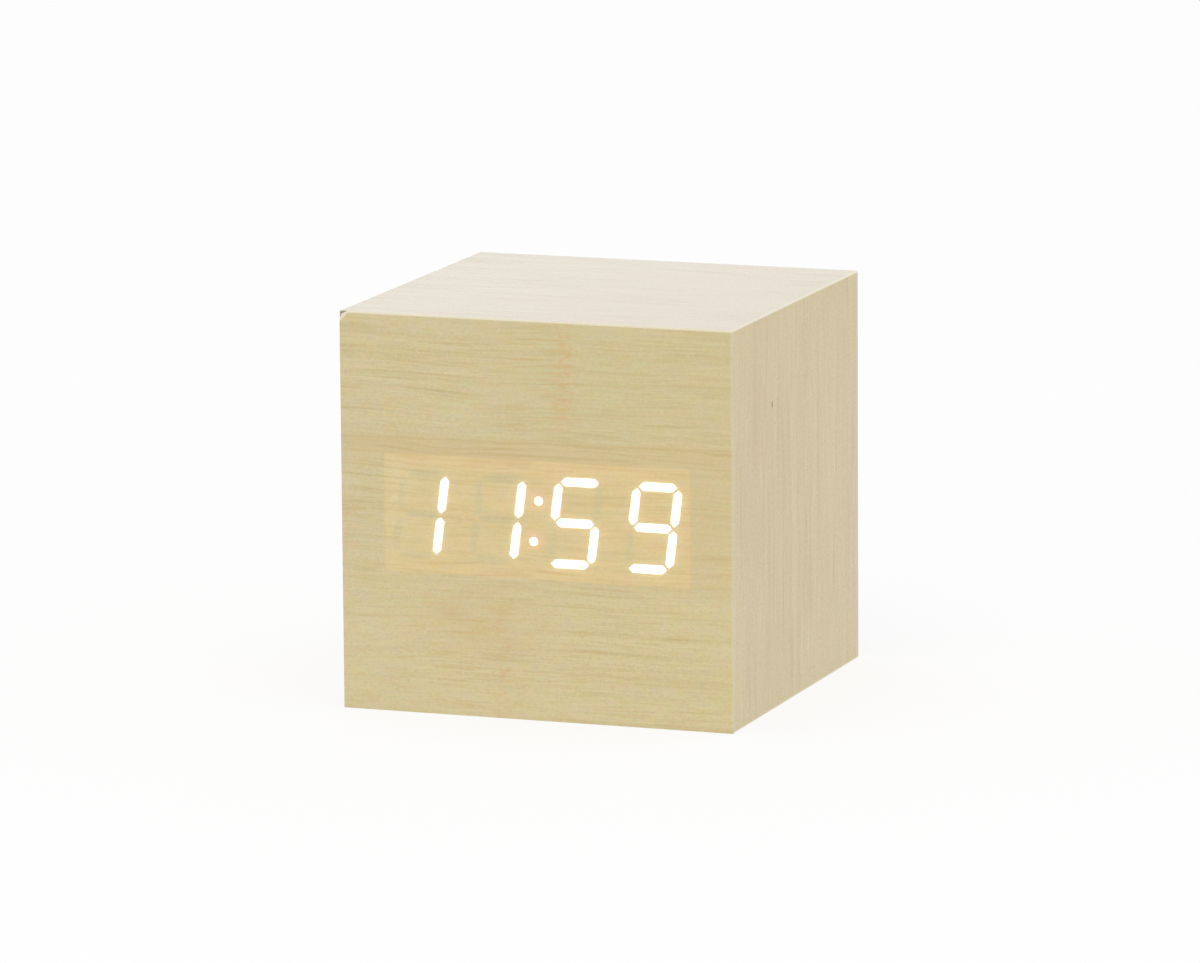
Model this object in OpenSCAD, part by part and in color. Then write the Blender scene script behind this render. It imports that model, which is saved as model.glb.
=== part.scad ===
// Wooden cube alarm clock: a mitred fibreboard box faced with wood-grain film, with a lit
// four-digit display behind the front film and a moulded rear cover that holds the keys and cells.
// Millimetres. The front faces -Y, +X is to its right, +Z is up, and the origin is the middle of the base.

/* [Case] */
// Width of the cube, left to right
case_w = 64; // [63:0.5:90]
// Depth of the cube, front to back
case_d = 61; // [54:0.5:90]
// Height of the cube
case_h = 62.5; // [60.5:0.5:90]
// Thickness of the fibreboard
board_t = 4; // [3:0.1:4.5]
// Thickness of the wood-grain film
film_t = 0.25; // [0.15:0.05:0.4]
// Seam between two sheets of film where they meet at a corner
film_seam = 0.05; // [0.02:0.01:0.1]
// How far the rear cover sits inside the rear edges
rear_recess = 1.6; // [1.2:0.1:4]
// Gap around a piece that drops into an opening of the box
drop_gap = 0.2; // [0.1:0.05:0.4]
// Side of the square glue posts in the rear corners
post_side = 6.5; // [6:0.1:7]
// Length of the glue posts
post_l = 12; // [9:0.5:20]

/* [Display] */
// Hour that the display shows
shown_hour = 11; // [1:1:12]
// Minute that the display shows
shown_minute = 59; // [0:1:59]
// Width of the display block
display_w = 50.3; // [49:0.1:52]
// Height of the display block
display_h = 19; // [17.5:0.1:22]
// Depth of the display block
display_depth = 8; // [7:0.1:10]
// Spacing of the digits
digit_pitch = 12.7; // [11:0.1:13]
// Height of a digit
digit_h = 14.2; // [12:0.1:15.5]
// Width of a digit
digit_w = 8.1; // [7:0.1:8.6]
// Lean of the digits in degrees
digit_lean = 7.6; // [0:0.2:10]
// Width of a light bar
bar_w = 1.35; // [1:0.05:1.6]
// Gap from a digit's corner to the tip of a bar
bar_tip_gap = 0.35; // [0.25:0.05:0.6]
// Length cut back along each edge to round the corners of a bar
bar_round = 0.35; // [0.1:0.05:0.4]
// Diameter of a colon dot
dot_d = 1.3; // [0.8:0.1:1.6]
// Distance between the two colon dots
dot_spread = 6.35; // [5:0.05:8]
// Clearance of the clear fill in its cavity
fill_gap = 0.03; // [0.01:0.01:0.05]
// Thickness of the display's outer wall at the rear
display_wall = 1; // [0.8:0.1:1.5]
// Thickness of the display's own base
display_base_t = 1.2; // [0.8:0.1:2]
// Side of a light-emitting chip
chip_side = 0.6; // [0.3:0.1:0.8]
// Height of a light-emitting chip
chip_h = 0.3; // [0.2:0.05:0.5]
// Diameter of a display pin
pin_d = 0.5; // [0.4:0.05:0.6]
// Spacing of the display pins
pin_pitch = 2.54; // [2:0.01:2.6]
// Distance between the two rows of pins
pin_row_gap = 15.24; // [14:0.02:15.4]
// Length of a pin behind the main board
pin_tail = 1.2; // [0.5:0.1:2]

/* [Main board] */
// Thickness of both circuit boards
pcb_t = 1.6; // [1:0.1:2]
// Width of the main board
main_board_w = 53; // [50:0.5:54]
// Margin of the boards outside their fixings
board_edge = 0.8; // [0.5:0.1:1.2]
// Clearance of a part that passes through a circuit board
board_hole_gap = 0.2; // [0.1:0.05:0.3]
// Diameter of the spacers under the main board
spacer_d = 4.5; // [4:0.1:5]
// Diameter of the main board's screws
board_screw_d = 2; // [1.6:0.1:2.4]
// Diameter of the heads of the main board's screws
board_head_d = 3.6; // [3.2:0.1:4]
// Depth of the main board's screws in the front panel
board_screw_bite = 2.4; // [1.5:0.1:2.6]
// Clearance of a screw in its pilot hole
pilot_gap = 0.05; // [0.02:0.01:0.1]
// Length of the microcontroller's body
controller_l = 12.8; // [10:0.1:15]
// Width of the microcontroller's body
controller_w = 7.5; // [5:0.1:9]
// Height of the microcontroller's body
controller_h = 2.3; // [1.5:0.1:3]
// Diameter of the crystal's can
crystal_d = 2.1; // [1.8:0.1:3]
// Length of the crystal's can
crystal_l = 6.2; // [5:0.1:8]
// Diameter of the smoothing capacitor
capacitor_d = 6.3; // [5:0.1:7]
// Height of the smoothing capacitor
capacitor_h = 7.7; // [5:0.1:10]
// Diameter of the buzzer
buzzer_d = 12; // [9:0.5:13]
// Height of the buzzer
buzzer_h = 8.5; // [5:0.1:10]
// Diameter of the buzzer's sound hole
buzzer_hole_d = 2; // [1:0.1:3]

/* [Battery bay] */
// Diameter of an AAA cell
cell_d = 10.5; // [10.1:0.1:10.8]
// Length of an AAA cell over its positive button
cell_l = 44.5; // [43.5:0.1:45]
// Diameter of the cell's positive button
cell_button_d = 3.8; // [3:0.1:4.5]
// Height of the cell's positive button
cell_button_h = 0.8; // [0.5:0.1:1.2]
// Gap between neighbouring cells
cell_gap = 0.4; // [0.2:0.05:0.6]
// Gap between the cells and the door
cell_door_gap = 1.5; // [1.2:0.1:2.5]
// Wall of the battery tray
tray_wall = 1.2; // [1:0.1:1.4]
// Gap between the tray and the lower glue posts
tray_post_gap = 0.4; // [0.2:0.1:1]
// Thickness of the contact plates
contact_t = 0.4; // [0.3:0.05:0.5]
// Width of a contact plate
contact_w = 8; // [7:0.1:9]
// Width of a contact's solder tag
tag_w = 2.5; // [1.5:0.1:4]
// Length of a solder tag in front of the tray
tag_out = 2.5; // [1.5:0.1:4]
// Height of the dimple on a positive contact
dimple_h = 0.6; // [0.4:0.05:0.8]
// Diameter of the dimple on a positive contact
dimple_d = 4.6; // [3:0.1:6]
// Taper of the dimple on each side
dimple_taper = 0.45; // [0.1:0.05:0.8]
// Length of a contact spring against its cell
spring_l = 4.2; // [3.9:0.1:4.6]
// Wire of a contact spring
spring_wire_d = 0.5; // [0.4:0.05:0.55]
// Turns of a contact spring
spring_turns = 3; // [2:1:3]
// Mean diameter of a contact spring at its plate
spring_wide_d = 6.4; // [5.8:0.1:7]
// Mean diameter of a contact spring at its cell
spring_narrow_d = 3.6; // [3:0.1:4]
// Diameter of the battery leads
lead_d = 1.2; // [0.8:0.1:1.6]
// Sag of the battery leads
lead_sag = 4; // [0:0.5:8]

/* [Rear cover] */
// Thickness of the rear cover's plate
cover_t = 2; // [1.8:0.1:2.4]
// Corner radius of the rear cover
cover_corner_r = 1.2; // [0.5:0.1:2]
// Bevel of the outer edges of the rear cover and its door
cover_bevel = 0.3; // [0.1:0.05:0.5]
// Bevel of the rims of the rear cover's round holes
rim_bevel = 0.25; // [0.1:0.05:0.4]
// Diameter of the rear screws
rear_screw_d = 2.5; // [2:0.1:3]
// Length of the rear screws under the head
rear_screw_l = 8; // [6:0.5:9]
// Diameter of the rear screws' heads
rear_head_d = 4.4; // [4:0.1:5]
// Height of a screw head
head_h = 1.3; // [1:0.1:1.5]
// Depth of the counterbores for the rear screws
counterbore = 0.9; // [0.5:0.1:1.2]
// Thickness of the battery door
door_t = 1.5; // [1.3:0.1:1.7]
// Width of the ledge that the door closes on
door_ledge = 0.7; // [0.5:0.1:1]
// Gap around the door
door_gap = 0.2; // [0.15:0.05:0.3]
// Width of a door hook
hook_w = 6; // [4:0.5:9]
// Distance between the door hooks
hook_spread = 30; // [20:1:36]
// Thickness of a door hook
hook_t = 1; // [0.8:0.1:1.1]
// Reach of a door hook above the door
hook_reach = 1.5; // [1.2:0.1:1.7]
// Width of the door's latch
latch_w = 10; // [7:0.5:14]
// Drop of the latch's upper arm below the bay
latch_drop = 0.6; // [0.4:0.05:0.7]
// Thickness of the latch's spring arms
latch_t = 0.8; // [0.6:0.1:0.9]
// Inner radius of the latch's bend
latch_bend_r = 0.7; // [0.5:0.05:0.8]
// Depth of the latch behind the cover's outer face
latch_depth = 6; // [5:0.1:6.5]
// Height of the latch's catch
catch_h = 0.45; // [0.3:0.05:0.5]
// Room below the latch for its swing
latch_room = 0.9; // [0.8:0.05:1.2]
// Height of the thumb scoop below the latch
thumb_h = 3; // [2:0.1:3.5]
// Depth of the thumb scoop
thumb_depth = 0.9; // [0.5:0.1:1.2]
// Number of grip ribs on the door
grip_ribs = 5; // [3:1:8]
// Spacing of the grip ribs
grip_pitch = 1.8; // [1.4:0.1:2.4]
// Length of a grip rib between its round ends
grip_l = 14; // [6:0.5:30]
// Width of a grip rib
grip_w = 0.8; // [0.5:0.1:1.2]
// Height of a grip rib
grip_h = 0.4; // [0.2:0.05:0.6]
// Height of the lowest grip rib above the door's lower edge
grip_rise = 5; // [3:0.5:12]

/* [Keys and power inlet] */
// Spacing of the power inlet and the three keys
key_pitch = 8.2; // [7.9:0.1:8.3]
// Diameter of a button
button_d = 5.4; // [4.8:0.1:5.8]
// Running gap of a button in its hole
button_gap = 0.15; // [0.1:0.05:0.25]
// How far a button stands out of the cover
button_out = 1; // [0.6:0.1:1.1]
// Edge radius of a button
button_edge_r = 0.5; // [0.2:0.05:0.6]
// Overhang of a button's flange behind the cover
flange_over = 0.8; // [0.4:0.1:0.9]
// Thickness of a button's flange
flange_t = 0.8; // [0.6:0.1:1.2]
// Play of a button behind the cover
key_play = 0.1; // [0.05:0.05:0.2]
// Side of a switch body
switch_side = 6; // [5:0.1:6.5]
// Height of a switch body
switch_h = 3.5; // [3:0.1:4.5]
// Diameter of a switch plunger
plunger_d = 3.4; // [2.5:0.1:3.8]
// Height of a plunger above its switch body
plunger_out = 0.9; // [0.8:0.05:1.2]
// Depth of a plunger inside its switch body
plunger_in = 1.2; // [0.8:0.1:1.6]
// Room for a plunger to travel inside its switch body
plunger_room = 0.6; // [0.5:0.05:0.8]
// Running gap of a plunger
plunger_gap = 0.1; // [0.05:0.05:0.2]
// Height of the key board
key_board_h = 8.6; // [8:0.1:9]
// Gap between the tray and the key board
key_board_gap = 0.8; // [0.5:0.1:1.5]
// Diameter of the bosses that carry the key board
boss_d = 3.6; // [3.2:0.1:3.8]
// Distance between the bosses
boss_spread = 36.8; // [36.4:0.1:37]
// Margin of the key board outside its bosses
key_board_edge = 0.3; // [0.2:0.05:0.5]
// Diameter of the key board's screws
key_screw_d = 1.6; // [1.4:0.1:2]
// Diameter of the heads of the key board's screws
key_head_d = 2.7; // [2.4:0.1:3]
// Depth of the key board's screws in their bosses
key_screw_bite = 4; // [2.5:0.1:4.5]
// Width of the power inlet's shell
inlet_w = 7.8; // [7.2:0.1:8]
// Height of the power inlet's shell
inlet_h = 2.9; // [2.6:0.1:3.4]
// Bevel of the inlet's two lower corners
inlet_bevel = 0.9; // [0.5:0.1:1.2]
// Wall of the power inlet's shell
inlet_wall = 0.35; // [0.25:0.05:0.45]
// How far the inlet's mouth lies below the cover's outer face
inlet_sink = 0.3; // [0:0.1:0.8]
// Gap around the inlet in the cover
inlet_gap = 0.3; // [0.15:0.05:0.5]
// Width of the inlet's contact tongue
tongue_w = 3.7; // [3:0.1:4.5]
// Thickness of the inlet's contact tongue
tongue_t = 0.6; // [0.4:0.05:0.8]
// How far the tongue stops short of the inlet's mouth
tongue_short = 1.2; // [0.8:0.1:2]

/* [Ribbon cable] */
// Number of wires in the ribbon
ribbon_wires = 6; // [4:1:8]
// Spacing of the ribbon's wires
ribbon_pitch = 1.2; // [1:0.1:1.4]
// Thickness of the ribbon
ribbon_t = 0.9; // [0.6:0.1:1.2]
// Height of the ribbon's sockets above their boards
socket_l = 4; // [3:0.1:6]
// Wall of the ribbon's sockets
socket_wall = 1.2; // [0.8:0.1:1.6]
// Depth of the ribbon in its sockets
socket_depth = 2.5; // [1.5:0.1:2.8]
// Clearance of the ribbon in its sockets
socket_gap = 0.1; // [0.05:0.05:0.2]

/* [Hidden] */
$fn = 48;

// Length by which a cut runs past the solid that it cuts
past = 1;

// Shares of a screw head that its cross recess and its round edge take
cross_share = 0.6;
cross_w_share = 1 / 6;
head_edge_share = 0.6;

// Box
shell_t = board_t + film_t;
inner_w = case_w - 2 * shell_t;
inner_h = case_h - 2 * shell_t;
wood_x = case_w / 2 - film_t;
wood_z0 = film_t;
wood_z1 = case_h - film_t;
floor_z = shell_t;
front_y = -case_d / 2;
rear_y = case_d / 2;
panel_y = front_y + film_t;
panel_back_y = panel_y + board_t;
cover_y = rear_y - rear_recess;
cover_in_y = cover_y - cover_t;
post_x = (inner_w - post_side) / 2;
post_z = [floor_z + post_side / 2, floor_z + inner_h - post_side / 2];

// Display and main board
display_z = case_h / 2;
main_y = panel_y + display_depth;
main_back_y = main_y + pcb_t;
base_y = main_y - display_base_t;
fill_back_y = base_y - chip_h;
window_w = display_w + 2 * drop_gap;
window_h = display_h + 2 * drop_gap;
spacer_x = main_board_w / 2 - board_edge - spacer_d / 2;
spacer_z = window_h / 2 + board_edge + spacer_d / 2;
main_board_h = 2 * (spacer_z + spacer_d / 2 + board_edge);
pins_per_row = 6;
digits = [floor(shown_hour / 10), shown_hour % 10, floor(shown_minute / 10), shown_minute % 10];
BAR_NAMES = "abcdefg";
LIT_BARS = ["abcdef", "bc", "abged", "abgcd", "fgbc", "afgcd", "afgedc", "abc", "abcdefg", "abcdfg"];
BAR_ENDS = [
    [[-1, 1], [1, 1]], [[1, 0], [1, 1]], [[1, -1], [1, 0]], [[-1, -1], [1, -1]],
    [[-1, -1], [-1, 0]], [[-1, 0], [-1, 1]], [[-1, 0], [1, 0]],
];

// Parts on the rear of the main board, as places from the middle of the display
controller_at = [0, 0];
crystal_at = [13, 4];
capacitor_at = [14, -6];
buzzer_at = [-16, -4];
socket_at = [0, spacer_z];
red_pad_at = [20, 6];
black_pad_at = [-20, -12];
transistor_at = [-15, 9];
resistor_at = [0, -spacer_z];
transistor_count = 4;
transistor_pitch = 3.6;
transistor_size = [1.6, 1.1, 2.9];
resistor_count = 8;
resistor_pitch = 1.9;
resistor_size = [1.2, 0.6, 2];
controller_leads = 10;
controller_lead_pitch = 1.27;
controller_lead_w = 0.4;
controller_lead_t = 0.3;
controller_lead_out = 1.2;
capacitor_foot_t = 0.4;
capacitor_groove_r = 0.3;
capacitor_groove_rise = 1;
capacitor_score_w = 0.25;
capacitor_score_l = 4.4;
buzzer_wall = 1;
can_lead_d = 0.5;

// Battery bay
cells = 3;
cell_rim = 0.5;
cell_pitch = cell_d + cell_gap;
bay_l = 2 * contact_t + spring_l + cell_l + dimple_h;
tray_z0 = floor_z + post_side + tray_post_gap;
bay_z0 = tray_z0 + tray_wall;
bay_z1 = bay_z0 + cells * cell_pitch;
tray_z1 = bay_z1 + tray_wall;
cell_y = cover_y - door_t - cell_door_gap - cell_d / 2;
bay_y = cell_y - (cell_d + cell_gap) / 2;
tray_y = bay_y - tray_wall;
tag_gap = 0.2;
spring_rings = 8;
spring_sides = 6;
lead_rings = 14;
lead_sides = 8;

// Battery door, turning about the middle of its round top edge
door_w = bay_l + 2 * (door_ledge - door_gap);
door_z0 = bay_z0 - door_ledge + door_gap;
hinge_y = cover_y - door_t / 2;
hinge_z = bay_z1 - door_t / 2;
hook_y1 = cover_in_y - door_gap;
hook_sweep = norm([hinge_y - hook_y1 + hook_t, door_t / 2 + hook_reach]);
hook_root = 0.75;
slot_gap = 0.4;
latch_arm_z = bay_z0 - latch_drop;
latch_bend_z = latch_arm_z - latch_bend_r;
latch_low_z = latch_bend_z - latch_bend_r - latch_t;
latch_bend_y = cover_y - latch_depth + latch_bend_r + latch_t;
notch_z = latch_low_z - latch_room;
latch_space_w = latch_w + 2 * door_gap;
thumb_r = (pow(latch_space_w / 2, 2) + pow(thumb_h, 2)) / (2 * thumb_h);
grip_z = door_z0 + grip_rise;

// Keys
key_gap = key_play + flange_t + plunger_out + switch_h;
key_back_y = cover_in_y - key_gap;
key_front_y = key_back_y - pcb_t;
key_z = tray_z1 + key_board_gap + key_board_h / 2;
key_board_w = boss_spread + boss_d + 2 * key_board_edge;
inlet_x = 1.5 * key_pitch;
set_x = 0.5 * key_pitch;
up_x = -0.5 * key_pitch;
down_x = -1.5 * key_pitch;
inlet_back_y = key_back_y;
inlet_mouth_y = cover_y - inlet_sink;

// Ribbon
ribbon_w = ribbon_wires * ribbon_pitch;
socket_w = ribbon_w + 2 * (socket_wall + socket_gap);
socket_h = ribbon_t + 2 * (socket_wall + socket_gap);
ribbon_steps = 16;

// Colours
FILM = "#d6c494";
FIBREBOARD = "#a9835a";
BLACK_PLASTIC = "#222325";
WHITE_PLASTIC = "#eeeae0";
BOARD_GREEN = "#2e6a45";
NICKEL = "#c8c8c2";

// Draws a shape of x (right) and z (up) and fills it from y0 back to y1
module face_slab(y0, y1) {
    translate([0, y1, 0])
        rotate([90, 0, 0])
            linear_extrude(y1 - y0)
                children();
}

// Draws a shape of y (back) and z (up) and fills it from x0 across to x1
module side_slab(x0, x1) {
    translate([x0, 0, 0])
        rotate([90, 0, 90])
            linear_extrude(x1 - x0)
                children();
}

// A round bar along Y
module bar_y(d, y0, y1) {
    translate([0, y0, 0])
        rotate([-90, 0, 0])
            cylinder(d = d, h = y1 - y0);
}

// A round bar along X
module bar_x(d, x0, x1) {
    translate([x0, 0, 0])
        rotate([0, 90, 0])
            cylinder(d = d, h = x1 - x0);
}

// A rectangle about a middle
module plate(w, h) {
    square([w, h], center = true);
}

// A rectangle with round corners
module round_plate(w, h, r) {
    plate(w - 2 * r, h);
    plate(w, h - 2 * r);
    for (sx = [-1, 1], sz = [-1, 1])
        translate([sx * (w / 2 - r), sz * (h / 2 - r)])
            circle(r);
}

// Half of the section of a round cap whose far edge is round
module cap_section(r, h, edge_r) {
    square([r, h - edge_r]);
    square([r - edge_r, h]);
    translate([r - edge_r, h - edge_r])
        intersection() {
            circle(edge_r);
            square(edge_r);
        }
}

// A pan-head screw along +Y whose seat is at y = 0, with a cross recess
module screw_y(head_d, shank_d, shank_l) {
    recess_w = cross_w_share * head_d;
    recess_l = cross_share * head_d;
    recess_h = cross_share * head_h;
    difference() {
        union() {
            rotate([90, 0, 0])
                rotate_extrude()
                    cap_section(head_d / 2, head_h, head_edge_share * head_h);
            bar_y(shank_d, -head_h / 2, shank_l - shank_d / 2);
            translate([0, shank_l - shank_d / 2, 0])
                rotate([-90, 0, 0])
                    cylinder(d1 = shank_d, d2 = shank_d / 3, h = shank_d / 2);
        }
        face_slab(-head_h - past, -head_h + recess_h) {
            plate(recess_w, recess_l);
            plate(recess_l, recess_w);
        }
    }
}

// Places that the four rear screws share with their posts
module at_posts() {
    for (sx = [-1, 1], z = post_z)
        translate([sx * post_x, 0, z])
            children();
}

// Places that the main board's screws share with their spacers
module at_spacers() {
    for (sx = [-1, 1], sz = [-1, 1])
        translate([sx * spacer_x, 0, display_z + sz * spacer_z])
            children();
}

// Places that the key board's screws share with their bosses
module at_bosses() {
    for (sx = [-1, 1])
        translate([sx * boss_spread / 2, 0, key_z])
            children();
}

// Box

module front_film() {
    color(FILM)
        translate([0, 0, case_h / 2])
            face_slab(front_y, panel_y)
                plate(case_w, case_h);
}

// End view of a sheet: mitred at both ends, and short of each corner by half a seam
module film_sheet(w) {
    half = w / 2 - film_seam / 2;
    polygon([[-half, 0], [half, 0], [half - film_t, film_t], [film_t - half, film_t]]);
}

// One sheet on each side board, with a hairline seam where two sheets meet
module side_films() {
    middle = case_h / 2;
    color(FILM)
        face_slab(panel_y, rear_y) {
            film_sheet(case_w);
            translate([0, case_h])
                rotate(180)
                    film_sheet(case_w);
            translate([case_w / 2, middle])
                rotate(90)
                    film_sheet(case_h);
            translate([-case_w / 2, middle])
                rotate(-90)
                    film_sheet(case_h);
        }
}

// Mitred on all four edges, with a window for the display and pilot holes for its board
module front_panel() {
    color(FIBREBOARD)
        difference() {
            intersection() {
                side_slab(-wood_x, wood_x)
                    polygon([
                        [panel_y, wood_z0], [panel_y, wood_z1],
                        [panel_back_y, wood_z1 - board_t], [panel_back_y, wood_z0 + board_t],
                    ]);
                linear_extrude(case_h)
                    polygon([
                        [-wood_x, panel_y], [wood_x, panel_y],
                        [wood_x - board_t, panel_back_y], [board_t - wood_x, panel_back_y],
                    ]);
            }
            translate([0, 0, display_z])
                face_slab(panel_y - past, panel_back_y + past)
                    plate(window_w, window_h);
            at_spacers()
                bar_y(board_screw_d + 2 * pilot_gap, panel_back_y - board_screw_bite - pilot_gap,
                    panel_back_y + past);
        }
}

// The top board is drawn at the roof; the others follow its profile
module top_board() {
    color(FIBREBOARD)
        intersection() {
            side_slab(-wood_x, wood_x)
                polygon([
                    [panel_y, wood_z1], [rear_y, wood_z1],
                    [rear_y, wood_z1 - board_t], [panel_back_y, wood_z1 - board_t],
                ]);
            face_slab(panel_y, rear_y)
                polygon([
                    [-wood_x, wood_z1], [wood_x, wood_z1],
                    [wood_x - board_t, wood_z1 - board_t], [board_t - wood_x, wood_z1 - board_t],
                ]);
        }
}

module bottom_board() {
    color(FIBREBOARD)
        translate([0, 0, case_h])
            mirror([0, 0, 1])
                top_board();
}

module right_board() {
    color(FIBREBOARD)
        intersection() {
            linear_extrude(case_h)
                polygon([
                    [wood_x, panel_y], [wood_x, rear_y],
                    [wood_x - board_t, rear_y], [wood_x - board_t, panel_back_y],
                ]);
            face_slab(panel_y, rear_y)
                polygon([
                    [wood_x, wood_z0], [wood_x, wood_z1],
                    [wood_x - board_t, wood_z1 - board_t], [wood_x - board_t, wood_z0 + board_t],
                ]);
        }
}

module left_board() {
    color(FIBREBOARD)
        mirror([1, 0, 0])
            right_board();
}

module corner_posts() {
    bore_l = cover_t - counterbore;
    color("#b79468")
        at_posts()
            difference() {
                face_slab(cover_in_y - post_l, cover_in_y)
                    plate(post_side, post_side);
                bar_y(rear_screw_d + 2 * pilot_gap,
                    cover_in_y - (rear_screw_l - bore_l) - pilot_gap, cover_in_y + past);
            }
}

// Display

function digit_x(i) = (i - (len(digits) - 1) / 2) * digit_pitch;
function is_lit(i, b) = len(search(BAR_NAMES[b], LIT_BARS[digits[i]])) > 0;
function digit_corner(c) = [c.x * (digit_w - bar_w) / 2, c.y * (digit_h - bar_w) / 2];
function leaned(p) = [p.x + p.y * tan(digit_lean), p.y];
function bar_middle(b) = leaned((digit_corner(BAR_ENDS[b][0]) + digit_corner(BAR_ENDS[b][1])) / 2);

// A bar is a long hexagon between two corners of its digit
function bar_outline(b, shrink) =
    let (
        p = digit_corner(BAR_ENDS[b][0]),
        q = digit_corner(BAR_ENDS[b][1]),
        along = (q - p) / norm(q - p),
        across = [-along.y, along.x],
        half = bar_w / 2 - shrink,
        tip = bar_tip_gap + shrink * sqrt(2),
        start = p + along * tip,
        stop = q - along * tip
    )
    [
        start, start + (along - across) * half, stop - (along + across) * half,
        stop, stop - (along - across) * half, start + (along + across) * half,
    ];

// Rounds each corner with a short curve that starts and ends the cut length away from it
function rounded(points, cut) =
    let (n = len(points), steps = 3)
    [
        for (i = [0 : n - 1], k = [0 : steps])
            let (
                corner = points[i],
                before = points[(i + n - 1) % n],
                after = points[(i + 1) % n],
                from = corner + (before - corner) * cut / norm(before - corner),
                to = corner + (after - corner) * cut / norm(after - corner),
                t = k / steps
            )
            (1 - t) * (1 - t) * from + 2 * t * (1 - t) * corner + t * t * to
    ];

// The bars that are lit, or the dark ones, smaller all round by shrink
module bar_shapes(lit, shrink) {
    for (i = [0 : len(digits) - 1], b = [0 : len(BAR_NAMES) - 1])
        if (is_lit(i, b) == lit)
            translate([digit_x(i), display_z])
                polygon([for (p = rounded(bar_outline(b, shrink), bar_round)) leaned(p)]);
}

module dot_shapes(shrink) {
    for (s = [-1, 1])
        translate(leaned([0, s * dot_spread / 2]) + [0, display_z])
            circle(d = dot_d - 2 * shrink);
}

// Opaque block with an open cavity for every bar and dot
module display_housing() {
    color(WHITE_PLASTIC)
        difference() {
            translate([0, 0, display_z])
                face_slab(panel_y, main_y)
                    plate(display_w, display_h);
            translate([0, 0, display_z])
                face_slab(base_y, main_y + past)
                    plate(display_w - 2 * display_wall, display_h - 2 * display_wall);
            face_slab(panel_y - past, base_y + past / 2) {
                bar_shapes(true, 0);
                bar_shapes(false, 0);
                dot_shapes(0);
            }
        }
}

module lit_segments() {
    color("#ffffff")
        face_slab(panel_y, fill_back_y)
            bar_shapes(true, fill_gap);
}

module unlit_segments() {
    color("#c9c9b4")
        face_slab(panel_y, fill_back_y)
            bar_shapes(false, fill_gap);
}

module colon_dots() {
    color("#ffffff")
        face_slab(panel_y, fill_back_y)
            dot_shapes(fill_gap);
}

module display_base() {
    color("#d9d4c4")
        translate([0, 0, display_z])
            face_slab(base_y, main_y)
                plate(display_w - 2 * display_wall, display_h - 2 * display_wall);
}

// One chip on the base behind every bar and dot
module led_chips() {
    color("#f4d35e")
        face_slab(fill_back_y, base_y) {
            for (i = [0 : len(digits) - 1], b = [0 : len(BAR_NAMES) - 1])
                translate([digit_x(i), display_z] + bar_middle(b))
                    plate(chip_side, chip_side);
            for (s = [-1, 1])
                translate(leaned([0, s * dot_spread / 2]) + [0, display_z])
                    plate(chip_side, chip_side);
        }
}

module at_pins() {
    for (i = [0 : pins_per_row - 1], s = [-1, 1])
        translate([(i - (pins_per_row - 1) / 2) * pin_pitch, 0, display_z + s * pin_row_gap / 2])
            children();
}

module display_pins() {
    color(NICKEL)
        at_pins()
            bar_y(pin_d, main_y, main_back_y + pin_tail);
}

// Main board

module main_board() {
    color(BOARD_GREEN)
        difference() {
            translate([0, 0, display_z])
                face_slab(main_y, main_back_y)
                    round_plate(main_board_w, main_board_h, board_edge);
            at_pins()
                bar_y(pin_d + 2 * board_hole_gap, main_y - past, main_back_y + past);
            at_spacers()
                bar_y(board_screw_d + 2 * board_hole_gap, main_y - past, main_back_y + past);
        }
}

module board_spacers() {
    color(WHITE_PLASTIC)
        at_spacers()
            difference() {
                bar_y(spacer_d, panel_back_y, main_y);
                bar_y(board_screw_d + 2 * board_hole_gap, panel_back_y - past, main_y + past);
            }
}

module board_screws() {
    color(NICKEL)
        at_spacers()
            translate([0, main_back_y, 0])
                mirror([0, 1, 0])
                    screw_y(board_head_d, board_screw_d,
                        main_back_y - panel_back_y + board_screw_bite);
}

// Moves a part from the middle of the display's back to its place on the main board
module on_main_board(at) {
    translate([at.x, main_back_y, display_z + at.y])
        children();
}

// A flat package with a row of bent leads along each long side
module microcontroller() {
    stand = controller_lead_t;
    lead_z = controller_w / 2 + controller_lead_out;
    color("#26282b")
        on_main_board(controller_at) {
            face_slab(stand, controller_h)
                plate(controller_l, controller_w);
            for (i = [0 : controller_leads - 1], s = [-1, 1])
                translate([(i - (controller_leads - 1) / 2) * controller_lead_pitch, 0, 0])
                    side_slab(-controller_lead_w / 2, controller_lead_w / 2)
                        polygon([
                            [0, s * lead_z], [stand, s * lead_z],
                            [stand, s * (lead_z - 2 * stand)],
                            [controller_h / 2, s * (lead_z - 2 * stand)],
                            [controller_h / 2, s * controller_w / 4],
                            [stand, s * controller_w / 4],
                            [stand, s * (lead_z - 3 * stand)],
                            [0, s * (lead_z - 3 * stand)],
                        ]);
        }
}

// A can that lies on the board, with two leads bent down into it
module crystal() {
    lead_x = crystal_l / 2 + crystal_d / 2;
    color(NICKEL)
        on_main_board(crystal_at) {
            translate([0, crystal_d / 2, 0])
                bar_x(crystal_d, -crystal_l / 2, crystal_l / 2);
            for (s = [-1, 1])
                translate([0, crystal_d / 2, s * crystal_d / 4]) {
                    bar_x(can_lead_d, crystal_l / 2 - can_lead_d, lead_x);
                    translate([lead_x - can_lead_d / 2, 0, 0])
                        bar_y(can_lead_d, -crystal_d / 2, can_lead_d / 2);
                }
        }
}

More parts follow.
